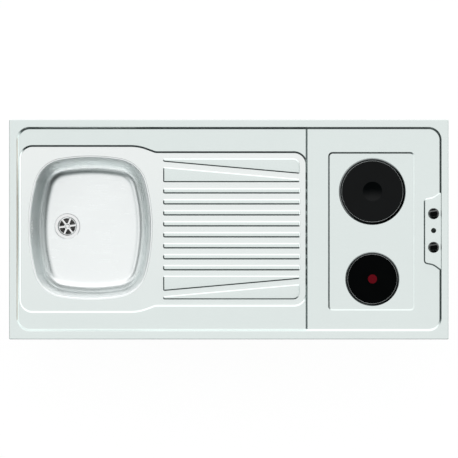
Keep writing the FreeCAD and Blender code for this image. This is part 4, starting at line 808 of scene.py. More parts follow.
def make_finishes():
    """Builds the shared effects and every material of the object."""
    colours, hob = settings("colours"), settings("hob")
    GROUPS.update(grain=grain_group(), speckle=speckle_group())
    steel, speckled = steel_material, speckled_material
    FINISH.update({
        "sheet_steel": sheet_material("Satin sheet steel", colours.sheet, 0.2),
        "bowl_steel": steel("Satin bowl steel", colours.bowl, 0.3, lines=500.0, depth=0.000001),
        "strainer_steel": steel("Polished strainer steel", (0.80, 0.81, 0.81), 0.13, lines=300.0,
                                depth=0.000001, patches=0.02),
        "trim_ring": ring_material("Polished trim ring", (0.36, 0.38, 0.38), 0.12),
        "rear_iron": iron_material("Rear cast iron", colours.iron, (hob.x, hob.rear_y), 0.23, 0.30, hob.dish),
        "front_iron": iron_material("Front cast iron", tuple(c * 0.5 for c in colours.iron),
                                    (hob.x, hob.front_y), 0.04, 0.38),
        "red_enamel": speckled("Red enamel", colours.red, 0.42, depth=0.000008, gloss=0.06),
        "black_plastic": speckled("Black plastic", colours.black, 0.2, grain=2200.0, depth=0.000004,
                                  spread=0.03, gloss=0.03, polished_edges=True),
        "lamp_lens": speckled("Lamp lens", (0.004, 0.012, 0.009), 0.12, grain=700.0, depth=0.000004,
                              spread=0.02, gloss=0.2),
        "timber_x": timber_material("Spruce along X", colours.timber, 0),
        "timber_y": timber_material("Spruce along Y", colours.timber, 1),
        "chipboard": chip_material("Chipboard", (0.56, 0.42, 0.26)),
        "zinc_steel": speckled("Zinc plated steel", (0.62, 0.64, 0.65), 0.36, grain=260.0,
                               depth=0.000008, darker=0.86, metallic=1.0, spread=0.08),
        "damping_pad": speckled("Damping pad", (0.06, 0.06, 0.06), 0.8, grain=420.0, depth=0.0002),
        "seal_rubber": speckled("Seal rubber", (0.03, 0.03, 0.03), 0.65),
        "waste_plastic": speckled("White moulding", (0.76, 0.76, 0.74), 0.38, darker=0.96, lighter=1.02),
        "hose_plastic": speckled("Grey hose", (0.60, 0.61, 0.61), 0.42),
        "gland_plastic": speckled("Gland moulding", (0.35, 0.36, 0.37), 0.45),
        "switch_housing": speckled("Brown phenolic", (0.10, 0.05, 0.03), 0.34, darker=0.6, lighter=1.5),
        "steatite": speckled("Steatite", (0.80, 0.77, 0.70), 0.6, darker=0.93),
        "brass_parts": steel("Turned brass", (0.72, 0.55, 0.26), 0.24, lines=400.0, patches=0.06),
        "loom_sleeve": woven_material("Woven sleeve", (0.70, 0.70, 0.67))})


# ---- the pressed sheet ----

# Front and back lines of the surround's foot, wide beside the bowl and drawn in beside the ribs,
# and where they start to draw in and have drawn in.
WELL_FRONT, WELL_BACK = -0.2225, 0.2255
DRAIN_FRONT, DRAIN_BACK = -0.2055, 0.2085
SHOULDER_X, NECK_X = -0.246, -0.201
WEDGE_CORNER = 0.0025


def sheet_outline(sizes):
    return box_corners(-sizes.half_length, sizes.half_length, -sizes.half_depth, sizes.half_depth,
                       sizes.corner)


def outer_step(sizes):
    return box_corners(sizes.step_left, sizes.step_right, sizes.step_front, sizes.step_back,
                       sizes.step_round)


def field_outline(hob):
    return box_corners(hob.field_left, hob.field_right, hob.field_front, hob.field_back, hob.field_round)


def surround_foot(sizes):
    left, right, corner, shoulder, neck = sizes.well_left, sizes.well_right, 0.031, 0.126, 0.029
    return [(left, WELL_FRONT, corner), (SHOULDER_X, WELL_FRONT, shoulder), (NECK_X, DRAIN_FRONT, neck),
            (right, DRAIN_FRONT, corner), (right, DRAIN_BACK, corner), (NECK_X, DRAIN_BACK, neck),
            (SHOULDER_X, WELL_BACK, shoulder), (left, WELL_BACK, corner)]


def wedge_outlines(drainer):
    """The four wedges at half height; the outer ones widen to the right."""
    found = []
    left, right = drainer.left, drainer.right - 0.001
    for line, inward in ((DRAIN_BACK, -1), (DRAIN_FRONT, 1)):
        for inner in (False, True):
            base = line + inward * (drainer.span if inner else drainer.margin)
            grows = -inward if inner else inward
            narrow, wide = base + grows * drainer.narrow, base + grows * drainer.wide
            at_left, at_right = (wide, narrow) if inner else (narrow, wide)
            end = WEDGE_CORNER if inner else drainer.wedge_round
            outline = [(left, base, WEDGE_CORNER), (right, base, end), (right, at_right, WEDGE_CORNER),
                       (left, at_left, WEDGE_CORNER)]
            found.append(outline if grows > 0 else outline[::-1])
    return found


def strip_foot(sizes, controls):
    """Foot of the raised control strip; both ends flare out towards the rim."""
    left, bend, end = controls.strip_left, 0.5575, sizes.half_length - 0.0095
    front, back = controls.strip_front, controls.strip_back
    return [(left, front, 0.011), (bend, front - 0.0045, 0.034), (end, front - 0.0285, 0.0),
            (end, back + 0.0285, 0.0), (bend, back + 0.0045, 0.034), (left, back, 0.011)]


def bowl_opening(bowl, inset=0.0, count=176):
    """The bowl's outline, four bulged sides and four round corners, drawn in by an inset."""
    side, end = bowl.half_x - bowl.bulge, bowl.half_y - bowl.bulge
    flat = Vector((-side, end))
    reach = math.sqrt((bowl.bulge - bowl.corner) ** 2 - (flat.length / 2) ** 2)
    across = Vector((-flat.y, flat.x)).normalized() * reach
    hub = max((Vector((side, 0)) + flat / 2 + way * across for way in (1, -1)), key=sum)
    to_corner, to_end = math.atan2(hub.y, hub.x - side), math.atan2(hub.y - end, hub.x)
    # centre, radius, first and last angle, and density of the points of side, corner and end
    arcs = [((side, 0), bowl.bulge, 0, to_corner, 1), (hub, bowl.corner, to_corner, to_end, 1.7),
            ((0, end), bowl.bulge, to_end, math.pi / 2, 1)]
    weights = [radius * (last - first) * dense for _, radius, first, last, dense in arcs]
    line = []
    for step in range(count):
        turn = 2 * math.pi * (step + 0.5) / count
        at = math.atan2(abs(math.sin(turn)), abs(math.cos(turn))) / (math.pi / 2) * sum(weights)
        for (centre, radius, first, last, _), weight in zip(arcs, weights):
            if at < weight:
                break
            at -= weight
        angle = first + (last - first) * at / weight
        x, y = centre[0] + (radius - inset) * math.cos(angle), centre[1] + (radius - inset) * math.sin(angle)
        line.append((bowl.middle_x + math.copysign(x, math.cos(turn)),
                     bowl.middle_y + math.copysign(y, math.sin(turn))))
    return np.array(line)


def sheet_level(points, opening):
    """Height of the sheet's face at each point, without the ribs."""
    sizes, drainer, hob, controls = map(settings, ("sheet", "drainer", "hob", "controls"))

    def inside(corners, run, start=0.0, rounding=STEP_ROUNDING):
        """From 0 outside an outline to 1 inside it; a negative run works outwards."""
        return ease(start - outside(points, rounded(corners)) / run, rounding)

    to_hob = ease((points[:, 0] - sizes.divider) / sizes.divider_run + 1)
    deck = sizes.sink_deck + (sizes.hob_deck - sizes.sink_deck) * to_hob
    level = sizes.rim - (sizes.rim - deck) * inside(outer_step(sizes), sizes.step_run)
    level = sizes.well + (level - sizes.well) * inside(surround_foot(sizes), -sizes.well_step)
    for corners in wedge_outlines(drainer):
        level = level + drainer.rise * inside(corners, drainer.run, 0.5)
    sunk = inside(field_outline(hob), hob.field_run, rounding=FIELD_ROUNDING)
    level = level - (sizes.hob_deck - sizes.field) * sunk
    raised = inside(strip_foot(sizes, controls), controls.strip_run)
    strip = sizes.hob_deck + (sizes.strip - sizes.hob_deck) * raised
    level = np.where(raised > 0, np.maximum(level, strip), level)
    level = level - 0.5 * round_drop(outside(points, opening), sizes.opening_roll)
    return level - round_drop(-outside(points, rounded(sheet_outline(sizes))), sizes.fold)


# Share of a rib's slope over which it blends into the faces above and below, and its plan
# corner as a share of the slope's width.
RIB_BLEND, RIB_CORNER = 0.2, 0.8


def rib_level(points):
    """What the drainer ribs add, the same rule as in the geometry nodes."""
    drainer = settings("drainer")
    index = np.clip(np.round((points[:, 1] - drainer.first) / drainer.pitch), 0, drainer.count - 1)
    corner = drainer.run * RIB_CORNER
    middle, half = (drainer.left + drainer.right) / 2, (drainer.right - drainer.left) / 2
    over_x = np.abs(points[:, 0] - middle) - half + corner
    over_y = np.abs(points[:, 1] - drainer.first - index * drainer.pitch) - drainer.width / 2 + corner
    past = np.hypot(np.maximum(over_x, 0), np.maximum(over_y, 0))
    away = past + np.minimum(np.maximum(over_x, over_y), 0) - corner
    share, soft = 0.5 - away / drainer.run, 6 * RIB_BLEND ** 2
    share = np.maximum(share, 0) + np.maximum(RIB_BLEND - np.abs(share), 0) ** 3 / soft
    share = np.minimum(share, 1) - np.maximum(RIB_BLEND - np.abs(share - 1), 0) ** 3 / soft
    return drainer.rise * share


def shade_sheet(piece, opening):
    """Smooth normals from the pressed form itself; folds and cut edges keep their own."""
    sizes, mesh = settings("sheet"), piece.data
    reach, upright_below = 0.00012, 0.2
    spots = np.empty(len(mesh.vertices) * 3)
    mesh.vertices.foreach_get("co", spots)
    flat = spots.reshape(-1, 3)[:, :2]

    def slope(*way):
        """Rise over run along one axis."""
        ahead, behind = flat + np.array(way) * reach, flat - np.array(way) * reach
        rise = sheet_level(ahead, opening) + rib_level(ahead)
        return (rise - sheet_level(behind, opening) - rib_level(behind)) / (2 * reach)

    normals = np.column_stack([-slope(1, 0), -slope(0, 1), np.ones(len(flat))])
    normals /= np.linalg.norm(normals, axis=1)[:, None]
    own = (outside(flat, rounded(sheet_outline(sizes))) > -1.2 * sizes.fold) | (
        outside(flat, opening) < sizes.opening_roll * 1.1)
    given = []
    for face in mesh.polygons:
        side = math.copysign(1, face.normal.z)
        upright = abs(face.normal.z) < upright_below
        for loop in face.loop_indices:
            vertex = mesh.loops[loop].vertex_index
            keeps = upright or own[vertex]
            given.append(tuple(mesh.corner_normals[loop].vector if keeps else normals[vertex] * side))
    mesh.normals_split_custom_set(given)


def rib_tree():
    """Geometry nodes that raise a row of equal ribs out of a sheet."""
    labels = ("Left end", "Right end", "Width", "Slope", "Height")
    tree, nodes, given = geometry_group("Drainer ribs", {
        "First rib": "Float", "Pitch": "Float", "Ribs": "Int", **dict.fromkeys(labels, "Float")})
    plus, minus, times, over, larger, smaller = nodes.signs()
    first, pitch = given["First rib"], given["Pitch"]
    left, right, width, slope, height = (given[label] for label in labels)
    x, y, _ = nodes.parts(nodes.add("GeometryNodeInputPosition").outputs[0])
    index = nodes.maths("ROUND", over(minus(y, first), pitch))
    index = smaller(larger(index, 0.0), minus(given["Ribs"], 1.0))
    rib_y = plus(first, times(index, pitch))
    corner = times(slope, RIB_CORNER)

    def past_side(value, middle, half):
        return plus(minus(nodes.maths("ABSOLUTE", minus(value, middle)), half), corner)

    over_x = past_side(x, times(plus(left, right), 0.5), times(minus(right, left), 0.5))
    over_y = past_side(y, rib_y, times(width, 0.5))
    out_x, out_y = larger(over_x, 0.0), larger(over_y, 0.0)
    past = nodes.maths("SQRT", plus(times(out_x, out_x), times(out_y, out_y)))
    away = minus(plus(past, smaller(larger(over_x, over_y), 0.0)), corner)
    lift = nodes.maths("SMOOTH_MAX", minus(0.5, over(away, slope)), 0.0, RIB_BLEND)
    lift = nodes.maths("SMOOTH_MIN", lift, 1.0, RIB_BLEND)
    offset = nodes.add("ShaderNodeCombineXYZ", {2: times(lift, height)}).outputs[0]
    raised = nodes.add("GeometryNodeSetPosition", {"Geometry": given["Geometry"], "Offset": offset})
    end_group(nodes, given, raised.outputs[0])
    return tree


def run_tree(piece, tree, values, material):
    """Runs a geometry nodes group on the piece, with its named inputs set."""
    modifier = piece.modifiers.new(tree.name, "NODES")
    modifier.node_group = tree
    values = {**values, "Material": FINISH[material]}
    for item in tree.interface.items_tree:
        if item.item_type == "SOCKET" and item.in_out == "INPUT" and item.name in values:
            modifier[item.identifier] = values[item.name]


def build_sheet():
    sizes, drainer, hob, controls, bowl = map(settings, ("sheet", "drainer", "hob", "controls", "bowl"))
    layout = Layout()
    for share in (0, 0.08, 0.22, 0.42, 0.7, 1.0):
        layout.outline(sheet_outline(sizes), -sizes.fold * share)
    for share in ease_lines() + [STEP_AT_STRIP]:
        layout.outline(outer_step(sizes), -sizes.step_run * share)
    for share in ease_lines():
        layout.outline(surround_foot(sizes), sizes.well_step * share)
        x = sizes.divider - sizes.divider_run * share
        layout.line([(x, sizes.step_front), (x, sizes.step_back)], closed=False)
        for corners in wedge_outlines(drainer):
            layout.outline(corners, drainer.run * (share - 0.5), COARSE_SAG)
        layout.outline(strip_foot(sizes, controls), -controls.strip_run * share)
    for share in ease_lines(FIELD_ROUNDING):
        layout.outline(field_outline(hob), -hob.field_run * share)
    for rib in range(drainer.count):
        y = drainer.first + rib * drainer.pitch
        corners = box_corners(drainer.left, drainer.right, y - drainer.width / 2, y + drainer.width / 2,
                              drainer.run * RIB_CORNER)
        for share in (-0.7, -0.6, -0.5, -0.4, -0.3, 0, 0.3, 0.4, 0.5, 0.6, 0.7):
            layout.outline(corners, drainer.run * share, COARSE_SAG)
    opening = bowl_opening(bowl)
    for share in (0, 0.15, 0.4, 0.7, 1.0):
        layout.line(bowl_opening(bowl, -sizes.opening_roll * share))
    under_plate, shaft_hole, lamp_lip, spacing = 0.002, 0.005, 0.0015, 0.043
    holes = [circle(hob.x, hob.rear_y, hob.rear_face - under_plate),
             circle(hob.x, hob.front_y, hob.front_face - under_plate),
             circle(controls.x, controls.rear_y, shaft_hole, 40),
             circle(controls.x, controls.front_y, shaft_hole, 40),
             circle(controls.x, controls.lamp_y, controls.lamp - lamp_lip, 40)]
    for hole in holes:
        layout.line(hole)
    layout.scatter(-0.596, 0.598, -0.298, 0.298, spacing)
    outline = rounded(sheet_outline(sizes))
    flat, faces = layout.triangles(outline, [opening] + holes)
    mesh = new_mesh("worktop_sheet", np.column_stack([flat, sheet_level(flat, opening)]), faces)
    add_skirt(mesh, outline)
    piece = object_of("worktop_steel", mesh)
    run_tree(piece, rib_tree(), {
        "First rib": drainer.first, "Pitch": drainer.pitch, "Ribs": drainer.count,
        "Left end": drainer.left, "Right end": drainer.right, "Width": drainer.width,
        "Slope": drainer.run, "Height": drainer.rise}, "sheet_steel")
    modify(piece, "SOLIDIFY", thickness=sizes.steel, offset=-1)
    finish_piece(piece, FINISH["sheet_steel"], ["worktop_sheet"], sharp=50)
    shade_sheet(piece, opening)


def add_skirt(mesh, outline):
    """Folds the sheet down along its outer edge, to the seat plane."""
    on_outline, levels = 2e-5, (0.020, 0.0008, 0.0)
    with edited(mesh) as work:
        spots = np.array([(v.co.x, v.co.y) for v in work.verts])
        near = np.abs(outside(spots, outline)) < on_outline
        rim = [edge for edge in work.edges if edge.is_boundary and all(near[v.index] for v in edge.verts)]
        for level in levels:
            laid = bmesh.ops.extrude_edge_only(work, edges=rim)["geom"]
            for item in laid:
                if isinstance(item, bmesh.types.BMVert):
                    item.co.z = level
            rim = [item for item in laid if isinstance(item, bmesh.types.BMEdge) and item.is_boundary]
        face_up(work, work.faces)


# ---- bowl and waste ----

def bowl_profile(bowl):
    """Inset and level of the bowl's inside, from its flange to the floor's edge."""
    level, edge = bowl.ledge_level, bowl.ledge_round
    lean = math.atan2(bowl.lean, level - bowl.floor)
    turn = math.pi / 2 - lean
    line = [(-bowl.flange, level), (-bowl.flange * 0.4, level)]
    line += arc((bowl.ledge - edge * math.tan(turn / 2), level - edge), edge, math.pi / 2, -turn, 6)
    # straight wall, then the sweep into the floor
    reach = bowl.sweep * math.tan(turn / 2)
    foot = bowl.ledge + bowl.lean
    last, start = line[-1], (foot - math.sin(lean) * reach, bowl.floor + math.cos(lean) * reach)
    for step in range(1, 9):
        line.append(tuple(a + (b - a) * (step / 9) for a, b in zip(last, start)))
    return line + arc((foot + reach, bowl.floor + bowl.sweep), bowl.sweep, math.pi + lean, turn, 14)


def build_bowl():
    bowl, waste = settings("bowl"), settings("waste")
    profile = bowl_profile(bowl)
    rings = [[(x, y, level) for x, y in bowl_opening(bowl, inset)] for inset, level in profile]
    wall = new_mesh("bowl_wall", *lofted(rings, capped=False))
    floor_edge = bowl_opening(bowl, profile[-1][0])
    layout = Layout()
    layout.line(floor_edge)
    for radius in (0.0, 0.002, 0.008, 0.016):
        layout.line(circle(waste.x, waste.y, waste.hole + radius))
    layout.scatter(bowl.middle_x - bowl.half_x, bowl.middle_x + bowl.half_x,
                   bowl.middle_y - bowl.half_y, bowl.middle_y + bowl.half_y, 0.021)
    flat, triangles = layout.triangles(floor_edge, [circle(waste.x, waste.y, waste.hole)])
    floor = new_mesh("bowl_floor", np.column_stack([flat, np.full(len(flat), bowl.floor)]), triangles)
    mesh = joined("sink_bowl", wall, floor)
    with edited(mesh) as work:
        merge_doubles(work, 2 * MERGE)
        face_up(work, [face for face in work.faces
                       if abs(face.calc_center_median().z - bowl.floor) < TINY])
    piece = object_of("bowl_drawn", mesh)
    modify(piece, "SOLIDIFY", thickness=bowl.steel, offset=-1)
    drill_overflow(piece, bowl)
    finish_piece(piece, FINISH["bowl_steel"], ["sink_bowl"], sharp=50)


def overflow_spots(bowl):
    """Two rows of three holes beside the overflow's middle."""
    return [bowl.overflow_y + side * (0.0068 + 0.0085 * turn) for side in (-1, 1) for turn in range(3)]


def drill_overflow(piece, bowl):
    """Six holes through the left wall, cut with a set of pins."""
    pins, left = [], bowl.middle_x - bowl.half_x
    for index, y in enumerate(overflow_spots(bowl)):
        around = circle(y, bowl.overflow_level, bowl.overflow_radius, 20)
        rings = [[(x, across, up) for across, up in around] for x in (left - 0.004, left + 0.020)]
        pins.append(tidy_mesh(new_mesh("pin_%d" % index, *lofted(rings))))
    cut_out(piece, joined("overflow_pins", *pins))


def build_overflow_lips():
    """The pressed lip round each overflow hole, standing a little proud of the wall."""
    bowl = settings("bowl")
    r, depth = bowl.overflow_radius, bowl.ledge_level - bowl.floor
    reach = bowl.bulge - bowl.ledge - bowl.lean * ((bowl.ledge_level - bowl.overflow_level) / depth)
    lean = Matrix.Rotation(math.pi / 2 - math.atan2(bowl.lean, depth), 4, "Y")
    lips = []
    for index, y in enumerate(overflow_spots(bowl)):
        x = bowl.middle_x - (bowl.half_x - bowl.bulge) - math.sqrt(reach ** 2 - (y - bowl.middle_y) ** 2)
        lip = turned("lip_%d" % index, [(r, -0.0006, 0.0), (r + 0.0011, -0.0006, 0.0),
                                        (r + 0.0011, 0.0009, 0.0006), (r, 0.0014, 0.0005)], (0, 0, 0), 32)
        lip.transform(Matrix.Translation((x, y, bowl.overflow_level)) @ lean)
        lips.append(lip)
    piece = object_of("overflow_lips", joined("overflow_lips", *lips))
    finish_piece(piece, FINISH["strainer_steel"])


def grid_tree():
    """Geometry nodes that cut a ring of equal openings into a disc."""
    tree, nodes, given = geometry_group("Strainer grid", {
        "Openings": "Int", "First angle": "Float", "Disc radius": "Float", "Thickness": "Float"})
    plus, _, times, over, _, _ = nodes.signs()

    def make(kind, inputs=None):
        return nodes.add("GeometryNode" + kind, inputs).outputs[0]

    def join(*sockets):
        node = nodes.add("GeometryNodeJoinGeometry")
        for socket in sockets:
            tree.links.new(socket, node.inputs[0])
        return node.outputs[0]

    opening = make("MeshToCurve", {"Mesh": given["Geometry"]})
    points = make("Points", {"Count": given["Openings"]})
    step = over(2 * math.pi, given["Openings"])
    angle = plus(times(make("InputIndex"), step), given["First angle"])
    turn = nodes.add("ShaderNodeCombineXYZ", {2: angle}).outputs[0]
    ring = make("InstanceOnPoints", {"Points": points, "Instance": opening, "Rotation": turn})
    ring = make("RealizeInstances", {"Geometry": ring})
    disc = make("CurvePrimitiveCircle", {"Resolution": 96, "Radius": given["Disc radius"]})
    face = make("FillCurve", {"Curve": join(ring, disc)})
    down = nodes.add("ShaderNodeCombineXYZ", {2: times(given["Thickness"], -1.0)}).outputs[0]
    sunk = make("ExtrudeMesh", {"Mesh": face, "Offset": down, "Offset Scale": 1.0, "Individual": False})
    merged = make("MergeByDistance", {"Geometry": join(face, sunk), "Distance": 0.00001})
    end_group(nodes, given, merged)
    return tree


def build_strainer():
    bowl, waste = settings("bowl"), settings("waste")
    step, grid_depth = 2 * math.pi / waste.spokes, 0.0045
    outline = []
    for radius, forward in ((waste.hub, True), (waste.sector, False)):
        edge = math.asin(waste.spoke / 2 / radius)
        angles = np.linspace(edge, step - edge, 12)
        outline += [(radius * math.cos(a), radius * math.sin(a), 0.0)
                    for a in (angles if forward else angles[::-1])]
    mesh = bpy.data.meshes.new("strainer_opening")
    mesh.from_pydata(outline, [(i, (i + 1) % len(outline)) for i in range(len(outline))], [])
    piece = object_of("strainer_grid", mesh)
    run_tree(piece, grid_tree(), {
        "Openings": waste.spokes, "First angle": waste.first_angle, "Disc radius": waste.sector + 0.0012,
        "Thickness": 0.0015}, "strainer_steel")
    settle_tree(piece)
    grid = piece.data
    with edited(grid) as work:
        bmesh.ops.translate(work, verts=work.verts, vec=(waste.x, waste.y, bowl.floor - grid_depth))
        bmesh.ops.recalc_face_normals(work, faces=work.faces)
    at = (waste.x, waste.y, bowl.floor)
    inner, throat, flange = waste.sector + 0.0010, waste.throat, waste.flange
    dish = turned("strainer_dish", [
        (inner, -0.0060, 0.0), (throat + 0.0015, -0.0060, 0.001), (throat + 0.0015, 0.0010, 0.0),
        (flange, 0.0010, 0.0), (flange, 0.0014, 0.0003), (flange - 0.0012, 0.0022, 0.0008),
        (throat + 0.0008, 0.0022, 0.0012), (throat, 0.0006, 0.0008), (throat, -0.0035, 0.0010),
        (inner, -0.0045, 0.0004)], at)
    piece.data = joined("strainer_plate", grid, dish)
    finish_piece(piece, FINISH["strainer_steel"], ["strainer_plate"])
    screw = object_of("strainer_screw_turned", turned("strainer_screw_head", [
        (0.0, -0.0380, 0.0), (0.003, -0.0380, 0.0005), (0.003, -0.0045, 0.0), (0.0065, -0.0045, 0.0),
        (0.0065, -0.0036, 0.0004), (0.0045, -0.0024, 0.0008), (0.0, -0.0024, 0.0)], at, 48))
    top = bowl.floor - 0.0024
    cut_slot(screw, "driver_slot", at, 0.009, 0.0006, (top - 0.0010, top + 0.004))
    finish_piece(screw, FINISH["strainer_steel"], ["strainer_screw"])


def settle_tree(piece):
    """Makes the geometry nodes into the mesh, which must not come out empty."""
    settle(piece)
    if len(piece.data.polygons) == 0:
        raise RuntimeError(piece.name + " came out empty")


def cut_slot(screw, name, at, half_length, half_width, levels, turn=0.0):
    """Cuts a driver slot across a screw's head, turned about +Z."""
    c, s = math.cos(turn), math.sin(turn)
    corners = box_corners(-half_length, half_length, -half_width, half_width)
    rings = [[(at[0] + c * x - s * y, at[1] + s * x + c * y, z) for x, y, _ in corners] for z in levels]
    cut_out(screw, tidy_mesh(new_mesh(name, *lofted(rings))))


# ---- hotplates ----

def build_plate(name, y, face, ring, dish):
    sizes, hob = settings("sheet"), settings("hob")
    at = (hob.x, y, sizes.field)
    low, high, crest = -0.0080, hob.rise, 0.0043
    if dish:
        middle = [(0.0, high - 0.0032, 0.0), (0.008, high - 0.0029, 0.012),
                  (hob.dish + 0.0005, high, 0.006)]
    else:
        middle = [(0.0, high - 0.0008, 0.0), (hob.dot + 0.0001, high - 0.0008, 0.0),
                  (hob.dot + 0.0009, high, 0.0003)]
    profile = [(0.0, low, 0.0), (face - 0.003, low, 0.0005), (face - 0.003, 0.0009, 0.0),
               (face, 0.0009, 0.0003), (face, high - 0.0004, 0.0004), (face - 0.0016, high, 0.0012)]
    plate = object_of(name + "_cast_plate", turned(name + "_casting", profile + middle[::-1], at, 128))
    finish_piece(plate, FINISH[name + "_iron"], [name + "_plate"])
    trim = turned(name + "_ring", [
        (face - 0.0024, 0.0, 0.0), (ring - 0.0002, 0.0, 0.0), (ring, 0.0004, 0.0002),
        (ring - 0.0011, 0.0022, 0.0008), (face + 0.0011, crest, 0.0004), (face + 0.0008, crest - 0.0003, 0.0),
        (face + 0.0008, 0.0008, 0.0), (face - 0.0024, 0.0008, 0.0)], at, 128)
    finish_piece(object_of(name + "_rolled_ring", trim), FINISH["trim_ring"],
                 [name + "_trim_ring"])


def build_dot():
    sizes, hob = settings("sheet"), settings("hob")
    level = hob.rise - 0.0008
    mesh = turned("red_mark", [(0.0, level, 0.0), (hob.dot, level, 0.0), (hob.dot, level + 0.0004, 0.0003),
                               (0.0, level + 0.00045, 0.0)], (hob.x, hob.front_y, sizes.field), 64)
    finish_piece(object_of("front_red_mark", mesh), FINISH["red_enamel"], ["front_plate_dot"])


# ---- controls ----

def build_knob(name, y):
    sizes, controls = settings("sheet"), settings("controls")
    at = (controls.x, y, sizes.strip)
    r, skirt, top = controls.knob, controls.skirt, controls.height
    base = turned(name + "_skirt", [
        (0.0, 0.0011, 0.0), (0.009, 0.0011, 0.0), (0.009, 0.0005, 0.0), (r - 0.0004, 0.0005, 0.0003),
        (r, 0.0012, 0.0004), (r - 0.0003, skirt - 0.0010, 0.0014), (r - 0.0022, skirt, 0.0010),
        (0.0, skirt - 0.0004, 0.0)], at)
    half, reach = controls.grip / 2, r - 0.0012
    side, corner = math.sqrt(reach ** 2 - half ** 2), math.asin(half / reach)
    plan = []
    for middle, way in ((0, 1), (math.pi, -1)):
        plan += [(reach * math.cos(a), reach * math.sin(a))
                 for a in np.linspace(middle - corner, middle + corner, 17)]
        plan += [(way * side * share, way * half) for share in np.linspace(0.8, -0.8, 9)]
    c, s = math.cos(controls.turn), math.sin(controls.turn)
    rings = []
    for level, inset in ((skirt - 0.0020, -0.0004), (skirt + 0.0002, 0.0), (top - 0.0050, 0.0006),
                         (top - 0.0034, 0.0009), (top - 0.0022, 0.0016), (top - 0.0010, 0.0027),
                         (top - 0.0003, 0.0038), (top, 0.0052)):
        scaled = [(px * (1 - inset / reach), py * (1 - inset / half)) for px, py in plan]
        rings.append([(at[0] + c * px - s * py, at[1] + s * px + c * py, at[2] + level)
                      for px, py in scaled])
    grip = tidy_mesh(new_mesh(name + "_grip", *lofted(rings)))
    piece = object_of(name + "_moulded_knob", joined(name + "_knob_mesh", base, grip))
    finish_piece(piece, FINISH["black_plastic"], [name + "_knob"], name + "_control", 45)


def build_lamp():
    sizes, controls = settings("sheet"), settings("controls")
    r = controls.lamp
    lens = turned("lamp_dome", [
        (0.0, 0.0006, 0.0), (r, 0.0006, 0.0), (r, 0.0018, 0.0004), (r - 0.0012, 0.0029, 0.0010),
        (r - 0.0034, 0.0037, 0.0020), (0.0, 0.0040, 0.0)], (controls.x, controls.lamp_y, sizes.strip), 64)
    finish_piece(object_of("lamp_dome_lens", lens), FINISH["lamp_lens"], ["lamp_lens"])


# ---- timber, screws and the pieces kept from the frame ----

TIMBER = {"batten_back": 0, "batten_front": 0, "batten_left": 1, "batten_right": 1, "rail_bowl": 1,
          "rail_hob": 1, "middle_runner": 1}
BROKEN_EDGE = 0.0012


def build_timber():
    """Planed bars with slightly broken edges, one for each batten, rail and runner."""
    for node, axis in TIMBER.items():
        low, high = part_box(node)
        mesh = bpy.data.meshes.new(node + "_planed")
        with edited(mesh) as work:
            bmesh.ops.create_cube(work, size=1.0)
            for vertex in work.verts:
                vertex.co = Vector(low[i] + (high[i] - low[i]) * (vertex.co[i] + 0.5) for i in range(3))
            bmesh.ops.bevel(work, geom=list(work.edges), offset=BROKEN_EDGE, segments=2, affect="EDGES")
        material = FINISH["timber_y" if axis else "timber_x"]
        finish_piece(object_of(node + "_bar", mesh), material, [node], sharp=60)


def fastener_tree():
    """Geometry nodes that set one fastener on each point, along the point's own direction."""
    tree, nodes, given = geometry_group("Fasteners on points", {"Fastener": "Object", "Size": "Float"})
    facing = nodes.add("GeometryNodeInputNamedAttribute", {"Name": "facing"}, data_type="FLOAT_VECTOR")
    turn = nodes.add("FunctionNodeAlignRotationToVector", {"Vector": facing.outputs[0]}, axis="Z")
    pattern = nodes.add("GeometryNodeObjectInfo", {"Object": given["Fastener"]})
    points = nodes.add("GeometryNodeMeshToPoints", {"Mesh": given["Geometry"]}).outputs[0]
    placed = nodes.add("GeometryNodeInstanceOnPoints", {
        "Points": points, "Instance": pattern.outputs["Geometry"], "Rotation": turn.outputs[0],
        "Scale": given["Size"]})
    end_group(nodes, given, placed.outputs[0])
    return tree


def screw_pattern():
    """Round-headed wood screw with a cross slot, its shank along +Z from the origin."""
    pattern = object_of("screw_pattern", turned("wood_screw", [
        (0.0, 0.0140, 0.0), (0.0, -0.0024, 0.0), (0.0022, -0.0024, 0.0008), (0.0038, -0.0010, 0.0006),
        (0.0038, 0.0, 0.0002), (0.0019, 0.0, 0.0), (0.0019, 0.0110, 0.0)], (0, 0, 0), 24))
    for turn in (0.0, math.pi / 2):
        cut_slot(pattern, "cross_slot", (0, 0), 0.0021, 0.0004, (-0.0040, -0.0012), turn)
    return pattern


def fasten(name, node, spots, tree, pattern):
    """Screws at (point, direction) spots, as one piece."""
    mesh = bpy.data.meshes.new(name)
    mesh.from_pydata([spot for spot, _ in spots], [], [])
    facing = mesh.attributes.new("facing", "FLOAT_VECTOR", "POINT")
    facing.data.foreach_set("vector", [value for _, way in spots for value in way])
    piece = object_of(name, mesh)
    run_tree(piece, tree, {"Fastener": pattern, "Size": 1.0}, "zinc_steel")
    settle_tree(piece)
    finish_piece(piece, FINISH["zinc_steel"], [node])


# How far the screws sit inside their node's ends, and their places along Y and Z.
SCREW_INSET = 0.014
SCREW_ROWS = {"strap": ((-0.262, 0.262), (0.014, 0.005)), "tray": ((-0.150, 0.150), (0.012,))}


def build_screws():
    tree, pattern = fastener_tree(), screw_pattern()
    for held, (ys, zs) in SCREW_ROWS.items():
        low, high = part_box(held + "_screws")
        ends = ((low.x + SCREW_INSET, -1), (high.x - SCREW_INSET, 1))
        spots = [((x, y, z), (way, 0, 0)) for x, way in ends for y in ys for z in zs]
        fasten(held + "_wood_screws", held + "_screws", spots, tree, pattern)
    bpy.data.objects.remove(pattern)


def dress_kept():
    """A procedural finish on every node that stays as the frame has it."""
    slots = {part["node"]: part["material_slot"] for part in frame["record"]["subparts"]}
    named = {"timber": "timber_x", "cast_plate": "rear_iron"}
    for node, thing in frame["nodes"].items():
        slot = slots[node]
        material = FINISH[named.get(slot, slot)]
        if not thing.material_slots:
            thing.data.materials.append(material)
        for place in thing.material_slots:
            place.material = material


# ---- stage ----

